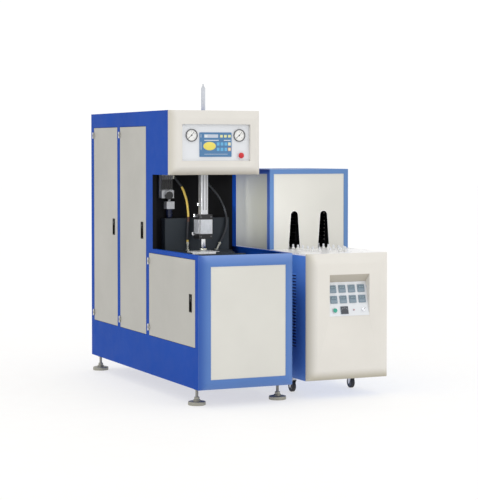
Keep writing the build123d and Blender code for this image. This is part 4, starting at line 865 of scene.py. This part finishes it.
# Regulator and filter under the manifold: a ribbed black knob that faces the front, and a dark blue bowl.
# The knob is moulded and pushed on its spindle, and the bowl is screwed up into the filter's head.
knob_profile = [(0, 0), (0, 0.0284), (0.0012, 0.029), (0.0172, 0.029), (0.0186, 0.0278), (0.0186, 0)]
knob_at = (-0.58, valve_face, 1.372)
knob = turned(knob_profile, knob_at, (0, -1, 0), 144, ribs=36, rib_share=0.018, ribbed_from=0.0285)
make_piece("regulator_knob", knob, black_plastic)
bowl_blue = shader("dark blue polycarbonate", (0.006, 0.012, 0.045), 0.3, 0.0, 0.1)
tint(bowl_blue, grain(bowl_blue, 30, 3), (0.005, 0.01, 0.038), (0.008, 0.016, 0.06))
vary(bowl_blue, "Roughness", grain(bowl_blue, 60, 3), 0.25, 0.35)
bowl_low, bowl_turn = 1.2098, np.linspace(0, np.pi / 2, 8)
bowl_rise = bowl_low + 0.0105 * (1 - np.cos(bowl_turn))
bowl_round = np.column_stack([bowl_rise, 0.0108 + 0.0108 * np.sin(bowl_turn)])
bowl_wall = [(1.27, 0.0216), (1.274, 0.0228), (1.2762, 0.0228), (1.2762, 0)]
bowl = turned(np.vstack([[(bowl_low, 0)], bowl_round, bowl_wall]), (-0.563, -0.144, 0), (0, 0, 1), 40)
make_piece("filter_bowl", bowl, bowl_blue)


# Oven cabinet: folded steel in blue paint, with a column of louvers pressed out of its left side.
# The mouth of each louver is a shaded slit that opens downwards, so warm air can leave the lamp supply.
oven_blue = powder_coat("oven side blue", (0.078, 0.23, 0.65), gloss=0.3)
finish_node(oven_blue, "oven_cabinet")
mouth_y, mouth_high, louver_pitch, louver_count = -0.723, 0.8315, 0.021, 24
mouths = [
    pressed(0.25, 0.0095, 0.0012, [(0, -0.0002), (0, 0.0006)], (oven_low[0], mouth_y, z), (0, -1, 0))
    for z in mouth_high - louver_pitch * np.arange(louver_count)
]
louver_shade = powder_coat("shaded blue", (0.006, 0.018, 0.085), 0.5)
make_piece("louver_mouths", mouths, louver_shade)

# Hollow of the control plate: a thin beige sheet on its roof, a painted shade of the roof, which faces down,
# and a cream strip on either cheek.
# The sheet runs from the knee to the front edge, and the strips lie behind the cream moulding.
roof_run = np.array((0, -0.062, 0.057))
roof_run /= np.linalg.norm(roof_run)
roof_at = np.array((oven_x, -0.976, 0.788)) + roof_run * 0.0408
roof_sheet = pressed(0.306, 0.081, 0.0002, [(0, -0.0001), (0, 0.0006)], roof_at, (1, 0, 0), roof_run)
roof_painted_shade = powder_coat("beige painted shade sheet", (0.5, 0.46, 0.39), 0.5, 0.0001)
make_piece("hollow_roof_sheet", [roof_sheet], roof_painted_shade)
cheeks = []
for side in (-1, 1):
    cheek_at = (oven_x + side * hollow_half, -0.9836, 0.785)
    cheeks.append(pressed(0.0148, 0.05, 0.0002, [(0, -0.0001), (0, 0.0005)], cheek_at, (0, -side, 0)))
make_piece("hollow_strips", cheeks, cream_coat("cream moulding paint"))

# Controllers of the oven: eight panel instruments in two rows, each with a bezel, a window, digits and keys.
# All are clipped into the sloping white plate from the front, so they stand square to it.
controller_grey = powder_coat("slate controller plastic", (0.19, 0.26, 0.32), 0.38, 0.0001)
finish_node(controller_grey, "controllers")
plate_setback, plate_height = 0.062, 0.240
slope = atan2(plate_setback, plate_height)
slope_right = np.array((1.0, 0, 0))
slope_up = np.array((0, np.sin(slope), np.cos(slope)))
slope_out = np.array((0, -np.cos(slope), np.sin(slope)))
plate_origin = np.array((oven_x, -1.038, 0.548))
columns = [0.073 * (step - 1.5) for step in range(4)]


def on_plate(across, up, proud):
    """Point at distances across and up the sloping plate, and out from it."""
    return plate_origin + slope_right * across + slope_up * up + slope_out * proud


def on_controller(width, height, corner, rise, across, up):
    """Pressed plate on the face of the instruments, square to the slope."""
    return pressed(width, height, corner, rise, on_plate(across, up, front_proud), slope_right, slope_up)


front_proud = 0.009
bezel_rise, window_rise = [(0, -0.0002), (0, 0.0006), (0.0008, 0.0012)], [(0, 0.0011), (0.0003, 0.0014)]
digit_rise, key_rise = [(0, 0.0013), (0, 0.0016)], [(0, 0.0011), (0, 0.0017), (0.0004, 0.002)]
bezels, windows, digits, keys = [], [], [], []
for up in (0.2, 0.127):
    for across in columns:
        bezels.append(on_controller(0.052, 0.052, 0.003, bezel_rise, across, up))
        windows.append(on_controller(0.04, 0.02, 0.001, window_rise, across, up + 0.01))
        for step in range(3):
            digit_across = across - 0.011 + 0.011 * step
            digits.append(on_controller(0.006, 0.011, 0.0008, digit_rise, digit_across, up + 0.01))
        for step in range(4):
            key_across = across - 0.0147 + 0.0098 * step
            keys.append(on_controller(0.007, 0.006, 0.001, key_rise, key_across, up - 0.015))
make_piece("controller_bezels", bezels, controller_grey)
window_dark = powder_coat("smoked display window", (0.11, 0.16, 0.2), 0.12, 0.00001)
make_piece("controller_windows", windows, window_dark)
digit_glow = powder_coat("pale display bars", (0.26, 0.35, 0.4), 0.4, 0.00001)
make_piece("controller_digits", digits, digit_glow)
key_grey = powder_coat("light grey keys", (0.3, 0.36, 0.42), 0.45, 0.00005)
make_piece("controller_keys", keys, key_grey)

# Meter and pilot light beside the start button: a slate face with a fan of white marks, and a small red lens.
# The meter is clipped in like the controllers, and the lens is pushed through the plate.
meter_up = 0.052
meter_rise = [(0, -0.0002), (0, 0.0006), (0.001, 0.0014)]
meter_body = on_controller(0.056, 0.052, 0.002, meter_rise, columns[1], meter_up)
meter_slate = powder_coat("slate meter face", (0.055, 0.06, 0.075), 0.4, 0.0001)
make_piece("meter_body", [meter_body], meter_slate)
meter_marks = []
for step in range(9):
    ray = rays(radians(150 - 15 * step), slope_right, slope_up)
    mark_at = on_plate(columns[1], meter_up - 0.014, front_proud) + ray[0] * 0.03
    meter_marks.append(pressed(0.005, 0.0011, 0.0001, digit_rise, mark_at, *ray))
make_piece("meter_marks", meter_marks, strip_white)
pilot_red = powder_coat("pilot light lens", (0.5, 0.2, 0.2), 0.15, 0.00001)
pilot_turn = np.linspace(0, np.pi / 2, 7)
pilot_dome = np.column_stack([0.0035 * np.cos(pilot_turn), 0.0052 * np.sin(pilot_turn)])
pilot_profile = np.vstack([pilot_dome, [(-0.0006, 0.0052), (-0.0006, 0)]])
pilot = turned(pilot_profile, on_plate(columns[2], meter_up, front_proud), slope_out, 24)
make_piece("pilot_lens", pilot, pilot_red)

# Start button: a green moulded cap with a shallow dish in its face, in a chromed collar on the plate.
# It replaces the plain cap and slides with it; the knob beside it keeps its form and gets a black pointer.
green_plastic = powder_coat("green moulded plastic", (0.025, 0.34, 0.24), 0.26, 0.00005, 0.06)
button_profile = [
    (0.0065, 0), (0.0065, 0.0149), (0.0135, 0.0149), (0.0156, 0.0144), (0.0164, 0.0134), (0.0162, 0.012),
    (0.0156, 0.008), (0.0153, 0),
]
cap = turned(button_profile, on_plate(columns[0], meter_up, 0), slope_out, 48)
make_piece("start_cap", cap, green_plastic, "start_button", "start_button")
collar_profile = [
    (0, 0.0153), (0, 0.0186), (0.0014, 0.0186), (0.0022, 0.018), (0.0022, 0.0158), (0.0014, 0.0153),
    (0, 0.0153),
]
collar = turned(collar_profile, on_plate(columns[0], meter_up, front_proud - 0.0006), slope_out, 48)
make_piece("start_collar", collar, chrome)
finish_node(chrome, "selector_knob")
ray = rays(radians(50), slope_right, slope_up)
pointer_at = on_plate(columns[3], meter_up, 0.0213) + ray[0] * 0.005
pointer = pressed(0.015, 0.003, 0.0003, [(0, -0.0002), (0, 0.0002)], pointer_at, *ray)
make_piece("knob_pointer", [pointer], ink, "selector_knob")


# Preform holders: a white turned collar on each pin, with a bright mandrel that the preform stands on.
# Thirty of them stand evenly round the oval groove of the table: along two straights and two half circles.
table_z = 0.986
track_front, track_rear, track_half = -0.728, 0.057, 0.117
straight = track_rear - track_front
bend = np.pi * track_half
count = 30
distance = 2 * (straight + bend) * np.arange(count) / count
leg = [distance < straight, distance < straight + bend, distance < 2 * straight + bend]
front_turn = np.pi + (distance - straight) / track_half
rear_turn = (distance - 2 * straight - bend) / track_half
leg_x = [np.full(count, -track_half), track_half * np.cos(front_turn), np.full(count, track_half)]
leg_y = [
    track_rear - distance,
    track_front + track_half * np.sin(front_turn),
    track_front + distance - straight - bend,
]
holder_x = np.select(leg, leg_x, track_half * np.cos(rear_turn))
holder_y = np.select(leg, leg_y, track_rear + track_half * np.sin(rear_turn))
holder_at = np.column_stack([oven_x + holder_x, holder_y, np.full(count, table_z)])
holder_profile = [
    (0, 0), (0, 0.0118), (0.001, 0.0128), (0.009, 0.0128), (0.011, 0.012), (0.012, 0.0105), (0.014, 0.0102),
    (0.014, 0),
]
holder_white = powder_coat("white acetal", (0.78, 0.78, 0.76), 0.35, 0.00005)
holders = turned(holder_profile, holder_at, (0, 0, 1), 20)
make_piece("holder_collars", holders, holder_white, replaced="preform_holders")
mandrel = [(0.0135, 0), (0.0135, 0.0072), (0.03, 0.0072), (0.033, 0.0058), (0.034, 0.004), (0.034, 0)]
mandrel_bright = worked_metal("bright mandrel", (0.72, 0.735, 0.76), 0.34, 60, bare=0.25)
make_piece("holder_mandrels", turned(mandrel, holder_at, (0, 0, 1), 16), mandrel_bright)

# Edge trim of the two tunnel mouths: a white moulded beading pressed on to the cut edge of the front sheet.
# Its middle line climbs each side of the mouth and turns over it on an arc, and its section is a circle.
sheet_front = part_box("hood_mouths")[0][1]
mouth_base, mouth_shoulder = (0.048, table_z), (0.030, table_z + 0.243)
crown_rise, crown_half = 0.029, 0.030
crown_radius = (crown_half**2 + crown_rise**2) / (2 * crown_rise)
crown_z = table_z + 0.272 - crown_radius
climb = np.linspace(0, 1, 8)[:, None] * np.subtract(mouth_shoulder, mouth_base) + mouth_base
half_turn = np.arctan2(mouth_shoulder[1] - crown_z, mouth_shoulder[0])
over = np.linspace(half_turn, np.pi - half_turn, 16)[1:-1]
crown = np.column_stack([crown_radius * np.cos(over), crown_z + crown_radius * np.sin(over)])
edge = np.vstack([climb, crown, climb[::-1] * (-1, 1)])
heading = np.gradient(edge, axis=0)
heading /= np.linalg.norm(heading, axis=1)[:, None]
square = np.column_stack([heading[:, 1], np.zeros(len(edge)), -heading[:, 0]])
square = np.vstack([square[:1], square, square[-1:]])
thick = np.full((len(edge) + 2, 1), 0.0026)
thick[[0, -1]] = 0
angle = np.linspace(0, 2 * np.pi, 13)[:, None, None]
section = thick * (np.cos(angle) * square + np.sin(angle) * np.array((0, 1.0, 0)))
beading = []
for side in (-1, 1):
    mouth_x = oven_x + side * track_half
    centre_line = np.column_stack([mouth_x + edge[:, 0], np.full(len(edge), sheet_front), edge[:, 1]])
    beading.append(np.vstack([centre_line[:1], centre_line, centre_line[-1:]]) + section)
make_piece("mouth_beading", beading, holder_white)

# Lamps in the hood: dark quartz tubes before blackened reflectors, eight above each other beside each track.
# The near ends of the right bank are bare white ceramic, and those of the left bank are black, a painted
# shade where they lie in shadow.
reflector = worked_metal("blackened reflector", (0.02, 0.02, 0.024), 0.4, 30, (1, 0.2, 1))
finish_node(reflector, "lamp_banks")
quartz = shader("dark quartz", (0.02, 0.02, 0.022), 0.22, 0.0, 0.5)
tint(quartz, grain(quartz, 40, 3, (1, 0.2, 1)), (0.014, 0.014, 0.016), (0.03, 0.03, 0.034))
vary(quartz, "Roughness", grain(quartz, 80, 3), 0.18, 0.28)
lamp_z = [1.048 + 0.027 * step for step in range(8)]
left_bank = [(0.326, 0, z) for z in lamp_z]
right_bank = [(0.560, 0, z) for z in lamp_z]
tube = [(-0.3765, 0), (-0.3765, 0.0053), (0.1235, 0.0053), (0.1235, 0)]
tubes = turned(tube, left_bank + right_bank, (0, 1, 0), 16)
make_piece("lamp_tubes", tubes, quartz)
ceramic = powder_coat("white ceramic", (0.8, 0.79, 0.76), 0.5, 0.0001)
lamp_end = [(-0.3755, 0), (-0.3755, 0.0068), (-0.361, 0.0068), (-0.36, 0.006), (-0.36, 0)]
# The black ends of the left bank are painted shade.
make_piece("lamp_ends_left", turned(lamp_end, left_bank, (0, 1, 0), 20), black_plastic)
make_piece("lamp_ends_right", turned(lamp_end, right_bank, (0, 1, 0), 20), ceramic)

# Castor wheels: black rubber tyres moulded on grey nylon hubs, on a zinc plated axle bolt.
# Each replaces the plain wheel of its own body and turns with it.
tyre_rubber = powder_coat("black castor rubber", (0.02, 0.02, 0.021), 0.6, 0.0003, 0.2)
hub_nylon = powder_coat("grey nylon hub", (0.12, 0.12, 0.125), 0.45, 0.0001)
half_wheel = 0.013
shoulder = np.linspace(0, np.pi / 2, 8)
right_shoulder = np.column_stack([0.008 + 0.005 * np.sin(shoulder), 0.035 + 0.005 * np.cos(shoulder)])
left_shoulder = right_shoulder[::-1] * (-1, 1)
bore = [(half_wheel, 0.027), (-half_wheel, 0.027)]
tyre = np.vstack([left_shoulder, right_shoulder, bore, left_shoulder[:1]])
hub_disc = [
    (-0.0115, 0.0064), (-0.0125, 0.011), (-0.0125, 0.014), (-0.009, 0.017), (-0.009, 0.024),
    (-0.0125, 0.0272), (0.0125, 0.0272), (0.009, 0.024), (0.009, 0.017), (0.0125, 0.014), (0.0125, 0.011),
    (0.0115, 0.0064), (-0.0115, 0.0064),
]
for place in ("front_left", "front_right", "rear_left", "rear_right"):
    wheel = "castor_wheel_" + place
    centre = np.mean(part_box(wheel), axis=0)
    made_tyre = turned(tyre, centre, (1, 0, 0), 64)
    make_piece(wheel + "_tyre", made_tyre, tyre_rubber, wheel, wheel)
    make_piece(wheel + "_hub", turned(hub_disc, centre, (1, 0, 0), 48), hub_nylon, wheel)
